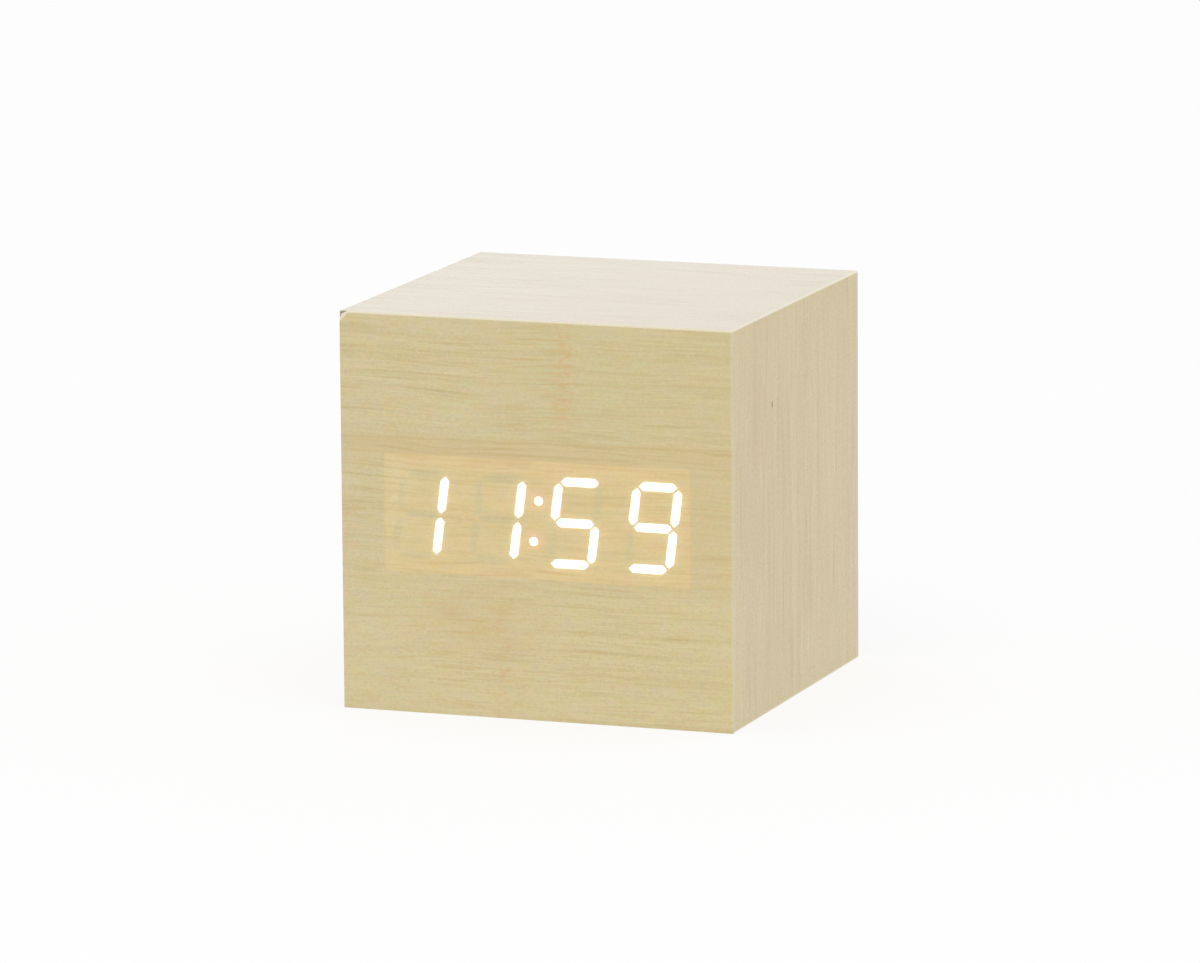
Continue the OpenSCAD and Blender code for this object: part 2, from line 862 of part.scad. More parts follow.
// An upright can on a square foot, with the pressed groove near its foot and a scored top
module capacitor() {
    score_w = capacitor_score_w;
    color("#b9bcc0")
        on_main_board(capacitor_at) {
            face_slab(0, capacitor_foot_t)
                round_plate(capacitor_d, capacitor_d, capacitor_d / 8);
            difference() {
                bar_y(capacitor_d, capacitor_foot_t / 2, capacitor_h);
                translate([0, capacitor_foot_t + capacitor_groove_rise, 0])
                    rotate([-90, 0, 0])
                        rotate_extrude()
                            translate([capacitor_d / 2, 0])
                                circle(capacitor_groove_r);
                for (a = [0, 90])
                    rotate([0, a, 0])
                        face_slab(capacitor_h - score_w, capacitor_h + past)
                            plate(score_w, capacitor_score_l);
            }
        }
}

// A round case with a sound hole in its rear face
module buzzer() {
    color("#1d1d1f")
        on_main_board(buzzer_at)
            difference() {
                bar_y(buzzer_d, 0, buzzer_h);
                bar_y(buzzer_d - 2 * buzzer_wall, buzzer_wall, buzzer_h - buzzer_wall);
                bar_y(buzzer_hole_d, buzzer_h - 2 * buzzer_wall, buzzer_h + past);
            }
}

module driver_transistors() {
    size = transistor_size;
    color("#2a2a2c")
        on_main_board(transistor_at)
            for (i = [0 : transistor_count - 1])
                translate([(i - (transistor_count - 1) / 2) * transistor_pitch, 0, 0])
                    face_slab(0, size.y)
                        plate(size.z, size.x);
}

module segment_resistors() {
    size = resistor_size;
    color("#303236")
        on_main_board(resistor_at)
            for (i = [0 : resistor_count - 1])
                translate([(i - (resistor_count - 1) / 2) * resistor_pitch, 0, 0])
                    face_slab(0, size.y)
                        plate(size.x, size.z);
}

// Ribbon cable between the two boards

socket_z = display_z + socket_at.y;
ribbon_from = [main_back_y + socket_l - socket_depth, socket_z];
ribbon_to = [key_front_y - socket_l + socket_depth, key_z];
ribbon_reach = (ribbon_to.x - ribbon_from.x) / 2;

function bezier(a, b, c, d, t) =
    pow(1 - t, 3) * a + 3 * t * pow(1 - t, 2) * b + 3 * t * t * (1 - t) * c + pow(t, 3) * d;

// The ribbon leaves both sockets square to their boards and curves between them
function ribbon_point(t) =
    let (lead_in = [socket_depth, 0])
    bezier(ribbon_from + lead_in, ribbon_from + lead_in + [ribbon_reach, 0],
        ribbon_to - lead_in - [ribbon_reach, 0], ribbon_to - lead_in, t);

function ribbon_side(t, side) =
    let (
        step = 0.01,
        way = ribbon_point(min(1, t + step)) - ribbon_point(max(0, t - step))
    )
    ribbon_point(t) + side * ribbon_t / 2 * [-way.y, way.x] / norm(way);

module ribbon_sockets() {
    color("#efeee6") {
        translate([socket_at.x, 0, socket_z])
            difference() {
                face_slab(main_back_y, main_back_y + socket_l)
                    plate(socket_w, socket_h);
                face_slab(ribbon_from.x, main_back_y + socket_l + past)
                    plate(ribbon_w + 2 * socket_gap, ribbon_t + 2 * socket_gap);
            }
        translate([socket_at.x, 0, key_z])
            difference() {
                face_slab(key_front_y - socket_l, key_front_y)
                    plate(socket_w, socket_h);
                face_slab(key_front_y - socket_l - past, ribbon_to.x)
                    plate(ribbon_w + 2 * socket_gap, ribbon_t + 2 * socket_gap);
            }
    }
}

// Flat cable with a shallow groove between its wires
module ribbon_cable() {
    groove = ribbon_t / 5;
    half = [0, ribbon_t / 2];
    thin = 1 - 2 * groove / ribbon_t;
    module strip(x0, x1, share) {
        top = [for (i = [0 : ribbon_steps]) ribbon_side(i / ribbon_steps, share)];
        low = [for (i = [0 : ribbon_steps]) ribbon_side(1 - i / ribbon_steps, -share)];
        side_slab(x0, x1)
            polygon(concat(
                [ribbon_from + share * half], top, [ribbon_to + share * half],
                [ribbon_to - share * half], low, [ribbon_from - share * half]));
    }
    color("#8e9196")
        for (i = [0 : ribbon_wires - 1]) {
            x0 = socket_at.x - ribbon_w / 2 + i * ribbon_pitch;
            strip(x0 + (i > 0 ? groove : 0), x0 + ribbon_pitch, 1);
            if (i > 0)
                strip(x0, x0 + groove, thin);
        }
}

// Rear cover

// Outline of the inlet: a rectangle whose two lower corners are bevelled
module inlet_outline(grow) {
    x = inlet_w / 2 + grow;
    z = inlet_h / 2 + grow;
    b = inlet_bevel;
    polygon([[-x, z], [x, z], [x, b - z], [x - b, -z], [b - x, -z], [-x, b - z]]);
}

// Inside of the battery bay: square above the cells' middles, round below, open to the ends
module bay_space() {
    translate([0, 0, (bay_z0 + bay_z1) / 2])
        face_slab(cell_y, cover_in_y + past)
            plate(bay_l, bay_z1 - bay_z0);
    for (i = [0 : cells - 1])
        translate([0, cell_y, cell_z(i)])
            bar_x(cell_pitch, -bay_l / 2, bay_l / 2);
    for (s = [-1, 1])
        translate([s * (bay_l - contact_t - spring_wire_d) / 2, 0, (bay_z0 + bay_z1) / 2])
            face_slab(bay_y, cell_y + past)
                plate(contact_t + spring_wire_d, bay_z1 - bay_z0);
}

// The door's seat, the slots for its hooks and the notch and scoop for its latch
module door_space() {
    seat_z1 = bay_z1 + door_gap;
    seat_z0 = bay_z0 - door_ledge;
    translate([0, 0, (seat_z0 + seat_z1) / 2])
        face_slab(cover_y - door_t, cover_y + past)
            plate(bay_l + 2 * door_ledge, seat_z1 - seat_z0);
    translate([0, 0, seat_z1 - tray_wall / 2])
        face_slab(cover_in_y - past, cover_y)
            plate(bay_l, tray_wall);
    for (s = [-1, 1])
        translate([s * hook_spread / 2, 0, bay_z1 + tray_wall / 2])
            face_slab(hinge_y - hook_sweep - slot_gap, cover_in_y)
                plate(hook_w + 2 * slot_gap, tray_wall + 2 * door_gap);
    translate([0, 0, (notch_z + bay_z0 + past) / 2])
        face_slab(cover_y - latch_depth - slot_gap, cover_y + past)
            plate(latch_space_w, bay_z0 + past - notch_z);
    intersection() {
        translate([0, 0, notch_z - thumb_h + thumb_r])
            bar_y(2 * thumb_r, cover_y - thumb_depth, cover_y + past);
        translate([0, 0, notch_z - thumb_h / 2])
            face_slab(cover_y - thumb_depth, cover_y + past)
                plate(latch_space_w, thumb_h);
    }
}

// Cuts a round hole with a bevelled rim in the rear cover, from y0 outwards
module cover_hole(d, y0) {
    bar_y(d, y0, cover_y + past);
    translate([0, cover_y - rim_bevel, 0])
        rotate([-90, 0, 0])
            cylinder(d1 = d, d2 = d + 2 * (rim_bevel + past), h = rim_bevel + past);
}

// A square bar along Z, standing on edge, that bevels an edge along its middle
module bevel_bar(l) {
    side = sqrt(2) * cover_bevel;
    rotate([0, 0, 45])
        cube([side, side, l], center = true);
}

module rear_cover() {
    hole_d = rear_screw_d + 2 * board_hole_gap;
    cover_w = inner_w - 2 * drop_gap;
    cover_h = inner_h - 2 * drop_gap;
    cover_z = floor_z + inner_h / 2;
    color(BLACK_PLASTIC)
        difference() {
            union() {
                translate([0, 0, cover_z])
                    face_slab(cover_in_y, cover_y)
                        round_plate(cover_w, cover_h, cover_corner_r);
                translate([0, 0, (tray_z0 + tray_z1) / 2])
                    face_slab(tray_y, cover_in_y)
                        plate(bay_l + 2 * tray_wall, tray_z1 - tray_z0);
                at_bosses()
                    bar_y(boss_d, key_back_y, cover_in_y);
            }
            for (s = [-1, 1]) {
                translate([s * cover_w / 2, cover_y, cover_z])
                    bevel_bar(cover_h + past);
                translate([0, cover_y, cover_z + s * cover_h / 2])
                    rotate([0, 90, 0])
                        bevel_bar(cover_w + past);
            }
            bay_space();
            door_space();
            at_posts() {
                bar_y(hole_d, cover_in_y - past, cover_y + past);
                cover_hole(rear_head_d + 2 * board_hole_gap, cover_y - counterbore);
            }
            for (x = [set_x, up_x, down_x])
                translate([x, 0, key_z])
                    cover_hole(button_d + 2 * button_gap, cover_in_y - past);
            translate([inlet_x, 0, key_z])
                face_slab(cover_in_y - past, cover_y + past)
                    inlet_outline(inlet_gap);
            at_bosses()
                bar_y(key_screw_d + 2 * pilot_gap, key_back_y - past,
                    key_back_y + key_screw_bite + pilot_gap);
            for (tag = TAGS)
                translate([tag[0] * (bay_l - contact_t) / 2, 0, cell_z(tag[1])])
                    face_slab(tray_y - past, bay_y + past)
                        plate(contact_t + 2 * tag_gap, tag_w + 2 * tag_gap);
        }
}

module rear_screws() {
    color("#4a4b4e")
        at_posts()
            translate([0, cover_y - counterbore, 0])
                mirror([0, 1, 0])
                    screw_y(rear_head_d, rear_screw_d, rear_screw_l);
}

// Battery door with a round top edge, two hooks, a bent spring latch and grip ribs
module battery_door() {
    pad_y = cover_y - door_t;
    latch_x = latch_w / 2;
    color(BLACK_PLASTIC) {
        difference() {
            side_slab(-door_w / 2, door_w / 2) {
                translate([hinge_y, hinge_z])
                    circle(d = door_t);
                translate([hinge_y, (door_z0 + hinge_z) / 2])
                    plate(door_t, hinge_z - door_z0);
            }
            translate([0, 0, (door_z0 + latch_arm_z) / 2 - past])
                face_slab(cover_y - door_t - past, cover_y + past)
                    plate(latch_w, latch_arm_z - door_z0 + 2 * past);
            for (s = [-1, 1])
                translate([s * door_w / 2, cover_y, hinge_z])
                    bevel_bar(2 * (hinge_z - door_z0 + past));
            translate([0, cover_y, door_z0])
                rotate([0, 90, 0])
                    bevel_bar(door_w + past);
        }
        for (s = [-1, 1])
            side_slab(s * hook_spread / 2 - hook_w / 2, s * hook_spread / 2 + hook_w / 2) {
                translate([hook_y1 - hook_t, bay_z1 - hook_root - door_gap])
                    square([hook_t, hook_root + door_gap + hook_reach]);
                translate([hook_y1 - hook_t, bay_z1 - hook_root - door_gap])
                    square([hinge_y - hook_y1 + hook_t, hook_root]);
            }
        side_slab(-latch_x, latch_x) {
            translate([latch_bend_y, latch_arm_z])
                square([cover_y - latch_bend_y, latch_t]);
            translate([latch_bend_y, latch_bend_z])
                difference() {
                    circle(latch_bend_r + latch_t);
                    circle(latch_bend_r);
                    translate([0, -2 * latch_depth])
                        square(4 * latch_depth);
                }
            translate([latch_bend_y, latch_low_z])
                square([cover_y - latch_bend_y, latch_t]);
            polygon([
                [cover_in_y - door_gap, latch_low_z + latch_t / 2],
                [cover_in_y - door_gap, latch_low_z - catch_h],
                [cover_in_y - door_gap - 2 * catch_h, latch_low_z + latch_t / 2],
            ]);
            translate([pad_y, latch_low_z])
                square([door_t, latch_t + latch_bend_r]);
        }
        for (i = [0 : grip_ribs - 1])
            translate([0, 0, grip_z + i * grip_pitch])
                face_slab(cover_y - door_t / 2, cover_y + grip_h) {
                    plate(grip_l, grip_w);
                    for (s = [-1, 1])
                        translate([s * grip_l / 2, 0])
                            circle(d = grip_w);
                }
    }
}

// Cells and contacts

function cell_z(i) = bay_z0 + (i + 0.5) * cell_pitch;

// The positive button points to +X on the first cell, to -X on the next, and so on
function cell_way(i) = i % 2 == 0 ? 1 : -1;

// Contact plates as [side, first cell, last cell], and the solder tags as [side, cell]
PLATES = [[-1, 0, 0], [-1, 1, 2], [1, 0, 1], [1, 2, 2]];
TAGS = [[-1, 0], [1, 2]];

module battery_cells() {
    rim = cell_rim;
    sleeve_l = cell_l - cell_button_h;
    color("#3d6f9e")
        for (i = [0 : cells - 1])
            translate([0, cell_y, cell_z(i)])
                rotate([0, 0, cell_way(i) > 0 ? 0 : 180])
                    translate([contact_t + spring_l - bay_l / 2, 0, 0])
                        rotate([0, 90, 0])
                            rotate_extrude()
                                polygon([
                                    [0, 0], [cell_d / 2 - rim, 0], [cell_d / 2, rim],
                                    [cell_d / 2, sleeve_l - rim], [cell_d / 2 - rim, sleeve_l],
                                    [cell_button_d / 2, sleeve_l], [cell_button_d / 2, cell_l],
                                    [0, cell_l],
                                ]);
}

// Is the contact of cell i on this side the one that meets its positive button?
function meets_button(side, i) = side == cell_way(i);

module contact_plates() {
    color(NICKEL)
        for (p = PLATES) {
            side = p[0];
            x0 = side * (bay_l / 2 - contact_t / 2) - contact_t / 2;
            z0 = cell_z(p[1]) - contact_w / 2;
            z1 = cell_z(p[2]) + contact_w / 2;
            translate([0, cell_y, (z0 + z1) / 2])
                side_slab(x0, x0 + contact_t)
                    plate(contact_w, z1 - z0);
            for (i = [p[1] : p[2]])
                if (meets_button(side, i))
                    translate([side * (bay_l / 2 - contact_t - dimple_h), cell_y, cell_z(i)])
                        rotate([0, side * 90, 0])
                            cylinder(d1 = dimple_d - 2 * dimple_taper, d2 = dimple_d, h = dimple_h);
            for (tag = TAGS)
                if (tag[0] == side && tag[1] == p[1])
                    translate([0, 0, cell_z(tag[1])])
                        side_slab(x0, x0 + contact_t)
                            translate([tray_y - tag_out, -tag_w / 2])
                                square([cell_y - tray_y + tag_out, tag_w]);
        }
}

// Faces of a tube whose points are given ring by ring
function tube_faces(rings, sides) = concat(
    [for (k = [1 : sides - 2]) [0, k, k + 1]],
    [
        for (i = [0 : rings - 2], k = [0 : sides - 1], half = [0, 1])
            let (
                a = i * sides + k,
                b = i * sides + (k + 1) % sides
            )
            half == 0 ? [a, a + sides, b] : [b, a + sides, b + sides]
    ],
    [
        for (k = [1 : sides - 2])
            let (base = (rings - 1) * sides)
            [base, base + k + 1, base + k]
    ]);

// Points of a tube along a path, with each ring square to the path and turned to its guide
function tube_points(path, guides, d, sides) = [
    for (i = [0 : len(path) - 1], k = [0 : sides - 1])
        let (
            way = path[min(i + 1, len(path) - 1)] - path[max(i - 1, 0)],
            along = way / norm(way),
            loose = guides[i] - (guides[i] * along) * along,
            out = loose / norm(loose),
            side = cross(along, out),
            angle = 360 * k / sides
        )
        path[i] + d / 2 * (cos(angle) * out - sin(angle) * side)
];

// Centre line of a conical spring along +X, with straight ends square to the plate and the cell
spring_start = spring_wire_d;
spring_rise = spring_l - 2 * spring_start;
spring_steps = spring_turns * spring_rings;
function spring_radius(s) = (spring_wide_d + s * (spring_narrow_d - spring_wide_d)) / 2;
function spring_out(s) = [0, cos(360 * spring_turns * s), sin(360 * spring_turns * s)];
spring_shares = [0, for (i = [0 : spring_steps]) i / spring_steps, 1];
spring_last = len(spring_shares) - 1;
spring_path = [
    for (i = [0 : spring_last])
        let (
            s = spring_shares[i],
            x = i == 0 ? 0 : i == spring_last ? spring_l : spring_start + s * spring_rise
        )
        [x, 0, 0] + spring_radius(s) * spring_out(s)
];
spring_guides = [for (s = spring_shares) spring_out(s)];
spring_least_gap = min([
    for (i = [0 : spring_last], j = [i + spring_rings - 2 : 1 : spring_last])
        norm(spring_path[i] - spring_path[j])
]) - spring_wire_d;
echo("least gap between the turns of a contact spring", spring_least_gap);

module contact_springs() {
    color(NICKEL)
        for (i = [0 : cells - 1])
            translate([0, cell_y, cell_z(i)])
                rotate([0, 0, cell_way(i) > 0 ? 0 : 180])
                    translate([contact_t - bay_l / 2, 0, 0])
                        polyhedron(
                            tube_points(spring_path, spring_guides, spring_wire_d, spring_sides),
                            tube_faces(len(spring_path), spring_sides));
}

// A lead from a solder tag to a pad on the main board, square to both and sagging between them
module lead(tag, pad_at) {
    from = [tag[0] * (bay_l - contact_t) / 2, tray_y - tag_out, cell_z(tag[1])];
    to = [pad_at.x, main_back_y, display_z + pad_at.y];
    reach = (from.y - to.y) / 2;
    sag = [0, 0, -lead_sag];
    path = [
        for (i = [0 : lead_rings - 1])
            bezier(from, from - [0, reach, 0] + sag, to + [0, reach, 0] + sag, to,
                i / (lead_rings - 1))
    ];
    straight = concat(
        [from], [from - [0, lead_d, 0]],
        [for (i = [1 : lead_rings - 2]) path[i]],
        [to + [0, lead_d, 0]], [to]);
    guides = [for (p = straight) [1, 0, 0]];
    polyhedron(tube_points(straight, guides, lead_d, lead_sides),
        tube_faces(len(straight), lead_sides));
}

module red_lead() {
    color("#b3281e")
        lead(TAGS[1], red_pad_at);
}

module black_lead() {
    color("#1b1b1c")
        lead(TAGS[0], black_pad_at);
}

// Keys

module key_board() {
    color(BOARD_GREEN)
        difference() {
            translate([0, 0, key_z])
                face_slab(key_front_y, key_back_y)
                    round_plate(key_board_w, key_board_h, board_edge);
            at_bosses()
                bar_y(key_screw_d + 2 * board_hole_gap, key_front_y - past, key_back_y + past);
        }
}

module key_screws() {
    color(NICKEL)
        at_bosses()
            translate([0, key_front_y, 0])
                screw_y(key_head_d, key_screw_d, pcb_t + key_screw_bite);
}

module switch_bodies() {
    bore = plunger_in + plunger_room;
    top_y = key_back_y + switch_h;
    color("#3a3b3e")
        for (x = [set_x, up_x, down_x])
            translate([x, 0, key_z])
                difference() {
                    face_slab(key_back_y, top_y)
                        round_plate(switch_side, switch_side, switch_side / 12);
                    bar_y(plunger_d + 2 * plunger_gap, top_y - bore, top_y + past);
                }
}

// A plunger follows its button into the switch body
module plunger(x) {
    top_y = key_back_y + switch_h;
    color("#d8d5cc")
        translate([x, 0, key_z])
            bar_y(plunger_d, top_y - plunger_in, top_y + plunger_out);
}

module set_plunger() {
    plunger(set_x);
}

module up_plunger() {
    plunger(up_x);
}

module down_plunger() {
    plunger(down_x);
}

// A round cap with an eased edge, and a flange behind the cover that keeps it in
module button(x) {
    flange_y = cover_in_y - key_play - flange_t;
    cap_h = flange_t + key_play + cover_t + button_out;
    color("#2c2d30")
        translate([x, flange_y, key_z])
            rotate([-90, 0, 0])
                rotate_extrude() {
                    square([button_d / 2 + flange_over, flange_t]);
                    cap_section(button_d / 2, cap_h, button_edge_r);
                }
}

module set_button() {
    button(set_x);
}

module up_button() {
    button(up_x);
}

module down_button() {
    button(down_x);
}

module inlet_shell() {
    color(NICKEL)
        translate([inlet_x, 0, key_z])
            face_slab(inlet_back_y, inlet_mouth_y)
                difference() {
                    inlet_outline(0);
                    inlet_outline(-inlet_wall);
                }
}

module inlet_tongue() {
    color("#1c1c1e")
        translate([inlet_x, 0, key_z])
            face_slab(inlet_back_y, inlet_mouth_y - tongue_short)
                plate(tongue_w, tongue_t);
}

front_film();
side_films();
front_panel();
top_board();
bottom_board();
left_board();
right_board();
corner_posts();
display_housing();
lit_segments();
unlit_segments();
colon_dots();
display_base();
led_chips();
display_pins();
main_board();
board_spacers();
board_screws();
microcontroller();
crystal();
capacitor();
buzzer();
driver_transistors();
segment_resistors();
ribbon_sockets();
ribbon_cable();
rear_cover();
rear_screws();
battery_door();
battery_cells();
contact_plates();
contact_springs();
red_lead();
black_lead();
key_board();
key_screws();
switch_bodies();
set_plunger();
up_plunger();
down_plunger();
set_button();
up_button();
down_button();
inlet_shell();
inlet_tongue();
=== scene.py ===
import math

import bmesh
import bpy
from mathutils import Matrix, Vector


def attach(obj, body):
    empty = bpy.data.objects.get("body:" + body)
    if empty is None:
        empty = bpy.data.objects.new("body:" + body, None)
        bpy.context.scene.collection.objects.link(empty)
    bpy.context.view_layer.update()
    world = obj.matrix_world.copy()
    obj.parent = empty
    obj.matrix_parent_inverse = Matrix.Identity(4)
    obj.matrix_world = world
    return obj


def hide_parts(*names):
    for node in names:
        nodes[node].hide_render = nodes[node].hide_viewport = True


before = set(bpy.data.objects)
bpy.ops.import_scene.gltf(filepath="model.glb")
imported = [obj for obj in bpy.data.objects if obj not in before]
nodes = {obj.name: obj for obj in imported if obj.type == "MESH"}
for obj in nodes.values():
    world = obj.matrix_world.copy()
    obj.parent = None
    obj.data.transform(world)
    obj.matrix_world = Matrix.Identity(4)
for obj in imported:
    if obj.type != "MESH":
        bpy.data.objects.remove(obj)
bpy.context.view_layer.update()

# Sizes in millimetres, in the part's own frame

MM = 0.001
X, Y, Z = 0, 1, 2
CASE_W, CASE_D, CASE_H = 64.0, 61.0, 62.5
SIDE_X, FRONT_Y, REAR_Y = CASE_W / 2, -CASE_D / 2, CASE_D / 2
MIDDLE_Z = CASE_H / 2
WINDOW_W, WINDOW_H = 50.3, 19.0
WINDOW_X, WINDOW_Z = 0.12, MIDDLE_Z + 0.2
FILM_ROOM, FILM_T = 0.25, 0.23
CHIP = 1.35


# Camera

CAMERA_AT = Vector((0.45118, -1.23904, 0.27547))
CAMERA_BACK = Vector((0.33683, -0.92391, 0.18147)).normalized()
CAMERA_ROLL = math.radians(-0.426)
CAMERA_LENS, SENSOR_W = 256.48, 36
NEAREST, FARTHEST = 0.1, 20


def set_camera():
    """The photograph's view: a long lens to the front and right of the clock, a little above it."""
    lens = bpy.data.cameras.new("camera")
    lens.sensor_fit = "HORIZONTAL"
    lens.sensor_width = SENSOR_W
    lens.lens = CAMERA_LENS
    lens.clip_start = NEAREST
    lens.clip_end = FARTHEST
    camera = bpy.data.objects.new("camera", lens)
    bpy.context.scene.collection.objects.link(camera)
    right = Vector((0, 0, 1)).cross(CAMERA_BACK).normalized()
    up = CAMERA_BACK.cross(right)
    turned_right = math.cos(CAMERA_ROLL) * right + math.sin(CAMERA_ROLL) * up
    turned_up = math.cos(CAMERA_ROLL) * up - math.sin(CAMERA_ROLL) * right
    turn = Matrix((turned_right, turned_up, CAMERA_BACK)).transposed()
    camera.matrix_world = Matrix.Translation(CAMERA_AT) @ turn.to_4x4()
    bpy.context.scene.camera = camera


# Finishes

# Places of the colour sockets on a Mix node
MIX_SHARE, MIX_FIRST, MIX_SECOND, MIX_RESULT = 0, 6, 7, 2
EDGE_SAMPLES = 4


class Finish:
    """A procedural material whose patterns are measured in millimetres on the object."""

    def __init__(self, name, colour, roughness, metallic=0.0, **sockets):
        self.material = bpy.data.materials.new(name)
        self.material.use_nodes = True
        self.nodes = self.material.node_tree.nodes
        self.links = self.material.node_tree.links
        self.shader = self.nodes["Principled BSDF"]
        self.shader.inputs["Base Color"].default_value = (*colour, 1)
        self.shader.inputs["Roughness"].default_value = roughness
        self.shader.inputs["Metallic"].default_value = metallic
        for socket, value in sockets.items():
            self.shader.inputs[socket.replace("_", " ")].default_value = value
        self.coordinates = self.nodes.new("ShaderNodeTexCoord")
        self.place = self.sized(1, 1, 1)

    def feed(self, socket, value):
        """Links a socket to a pattern, or sets it to a number or a colour."""
        if isinstance(value, bpy.types.NodeSocket):
            self.links.new(value, socket)
        elif isinstance(value, tuple) and len(value) == 3 and socket.type == "RGBA":
            socket.default_value = (*value, 1)
        else:
            socket.default_value = value

    def set(self, name, pattern):
        """Gives a socket of the shader a pattern."""
        self.feed(self.shader.inputs[name], pattern)

    def sized(self, x, y, z, shift=(0, 0, 0), place=None):
        """Units of these millimetres, along the object's own axes or along another place's."""
        unit = MM if place is None else 1
        mapping = self.nodes.new("ShaderNodeMapping")
        mapping.inputs["Location"].default_value = shift
        mapping.inputs["Scale"].default_value = (1 / (x * unit), 1 / (y * unit), 1 / (z * unit))
        source = self.coordinates.outputs["Object"] if place is None else place
        self.links.new(source, mapping.inputs["Vector"])
        return mapping.outputs["Vector"]

    def joined(self, x, y, z):
        """One vector from three numbers."""
        vector = self.nodes.new("ShaderNodeCombineXYZ")
        for socket, value in zip(vector.inputs, (x, y, z)):
            self.feed(socket, value)
        return vector.outputs[0]

    def axes(self, vector):
        """The three numbers of a vector."""
        split = self.nodes.new("ShaderNodeSeparateXYZ")
        self.feed(split.inputs[0], vector)
        return split.outputs[X], split.outputs[Y], split.outputs[Z]

    def noise(self, x, y, z, detail=2.0, roughness=0.5, shift=(0, 0, 0), place=None):
        """Cloudy pattern from 0 to 1 whose clouds have this size in millimetres."""
        texture = self.nodes.new("ShaderNodeTexNoise")
        texture.inputs["Scale"].default_value = 1
        texture.inputs["Detail"].default_value = detail
        texture.inputs["Roughness"].default_value = roughness
        self.links.new(self.sized(x, y, z, shift, place), texture.inputs["Vector"])
        return texture.outputs[0]

    def cells(self, size):
        """Distance from the nearest of many scattered points, which lie about this size apart."""
        texture = self.nodes.new("ShaderNodeTexVoronoi")
        texture.inputs["Scale"].default_value = 1
        self.links.new(self.sized(size, size, size), texture.inputs["Vector"])
        return texture.outputs["Distance"]

    def work(self, operation, a, b=0.0):
        """One Math node."""
        step = self.nodes.new("ShaderNodeMath")
        step.operation = operation
        self.feed(step.inputs[0], a)
        self.feed(step.inputs[1], b)
        return step.outputs[0]

    def plus(self, a, b):
        return self.work("ADD", a, b)

    def minus(self, a, b):
        return self.work("SUBTRACT", a, b)

    def most(self, a, b):
        return self.work("MAXIMUM", a, b)

    def least(self, a, b):
        return self.work("MINIMUM", a, b)

    def apart(self, a, b=0.0):
        """How far two numbers lie from each other."""
        return self.work("ABSOLUTE", self.minus(a, b))

    def times(self, *values):
        out = values[0]
        for value in values[1:]:
            out = self.work("MULTIPLY", out, value)
        return out

    def rise(self, value, start, end, low=0.0, high=1.0):
        """Goes smoothly from low to high as the value goes from start to end."""
        step = self.nodes.new("ShaderNodeMapRange")
        step.interpolation_type = "SMOOTHSTEP"
        self.feed(step.inputs["Value"], value)
        step.inputs["From Min"].default_value = start
        step.inputs["From Max"].default_value = end
        step.inputs["To Min"].default_value = low
        step.inputs["To Max"].default_value = high
        return step.outputs[0]

    def hump(self, value, middle, half):
        """1 at the middle, falling smoothly to 0 at half a width on either side."""
        return self.rise(self.apart(value, middle), half, 0)

    def mix(self, share, first, second):
        """The first colour with this share of the second in it."""
        step = self.nodes.new("ShaderNodeMix")
        step.data_type = "RGBA"
        self.feed(step.inputs[MIX_SHARE], share)
        self.feed(step.inputs[MIX_FIRST], first)
        self.feed(step.inputs[MIX_SECOND], second)
        return step.outputs[MIX_RESULT]

    def swing(self, pattern, reach, colour, above, below):
        """Tints a colour on either side of a pattern's middle, each with its share and colour."""
        for way, (share, tint) in ((reach, above), (-reach, below)):
            colour = self.mix(self.rise(pattern, 0.5, 0.5 + way, 0, share), colour, tint)
        return colour

    def relief(self, height, depth_mm, edge_mm=0.0):
        """Bump of this depth, over edges that are eased by edge_mm in the shading."""
        bump = self.nodes.new("ShaderNodeBump")
        bump.inputs["Strength"].default_value = 1
        bump.inputs["Distance"].default_value = depth_mm * MM
        self.feed(bump.inputs["Height"], height)
        if edge_mm:
            eased = self.nodes.new("ShaderNodeBevel")
            eased.samples = EDGE_SAMPLES
            eased.inputs["Radius"].default_value = edge_mm * MM
            self.links.new(eased.outputs[0], bump.inputs["Normal"])
        self.links.new(bump.outputs[0], self.shader.inputs["Normal"])


def from_corner(finish, x, z):
    """How far a place lies from the top left corner, across and down together."""
    return finish.plus(finish.plus(x, SIDE_X), finish.minus(CASE_H, z))


# Film on the front

# The chip colour is painted shade for the gap behind the chip
# The cream colour is a painted highlight for edges and folds
EDGE_HIGHLIGHT, CHIP_SHADE = (0.93, 0.86, 0.66), (0.40, 0.37, 0.25)
FILM_GREEN, FILM_TAN = (0.665, 0.592, 0.325), (0.705, 0.572, 0.305)
FILM_PALE, FILM_LIGHT = (0.705, 0.605, 0.385), (0.77, 0.658, 0.372)
FILM_ROSY, FILM_LEAF = (0.745, 0.56, 0.33), (0.65, 0.605, 0.33)
FILM_GREY, FILM_YELLOW = (0.69, 0.58, 0.42), (0.69, 0.585, 0.235)
FILM_DASH, FILM_STREAK, FILM_SPECK = (0.59, 0.46, 0.215), (0.54, 0.40, 0.16), (0.57, 0.485, 0.26)
FILM_JOINT, FILM_SHADE = (0.69, 0.505, 0.255), (0.60, 0.53, 0.29)
FILM_NODE, FILM_FAN = (0.70, 0.44, 0.20), (0.64, 0.44, 0.18)
FILM_HOLLOW_SHADE = (0.34, 0.25, 0.10)
GRAIN_BOW = 5.0
STRIP_TILT = 0.013
STRIP_FROM, STRIP_FULL, STRIP_TO, STRIP_END = 39.6, 41.0, 43.5, 44.0
UPPER_NODE_X, LOWER_NODE_X = 6.2, -3.8


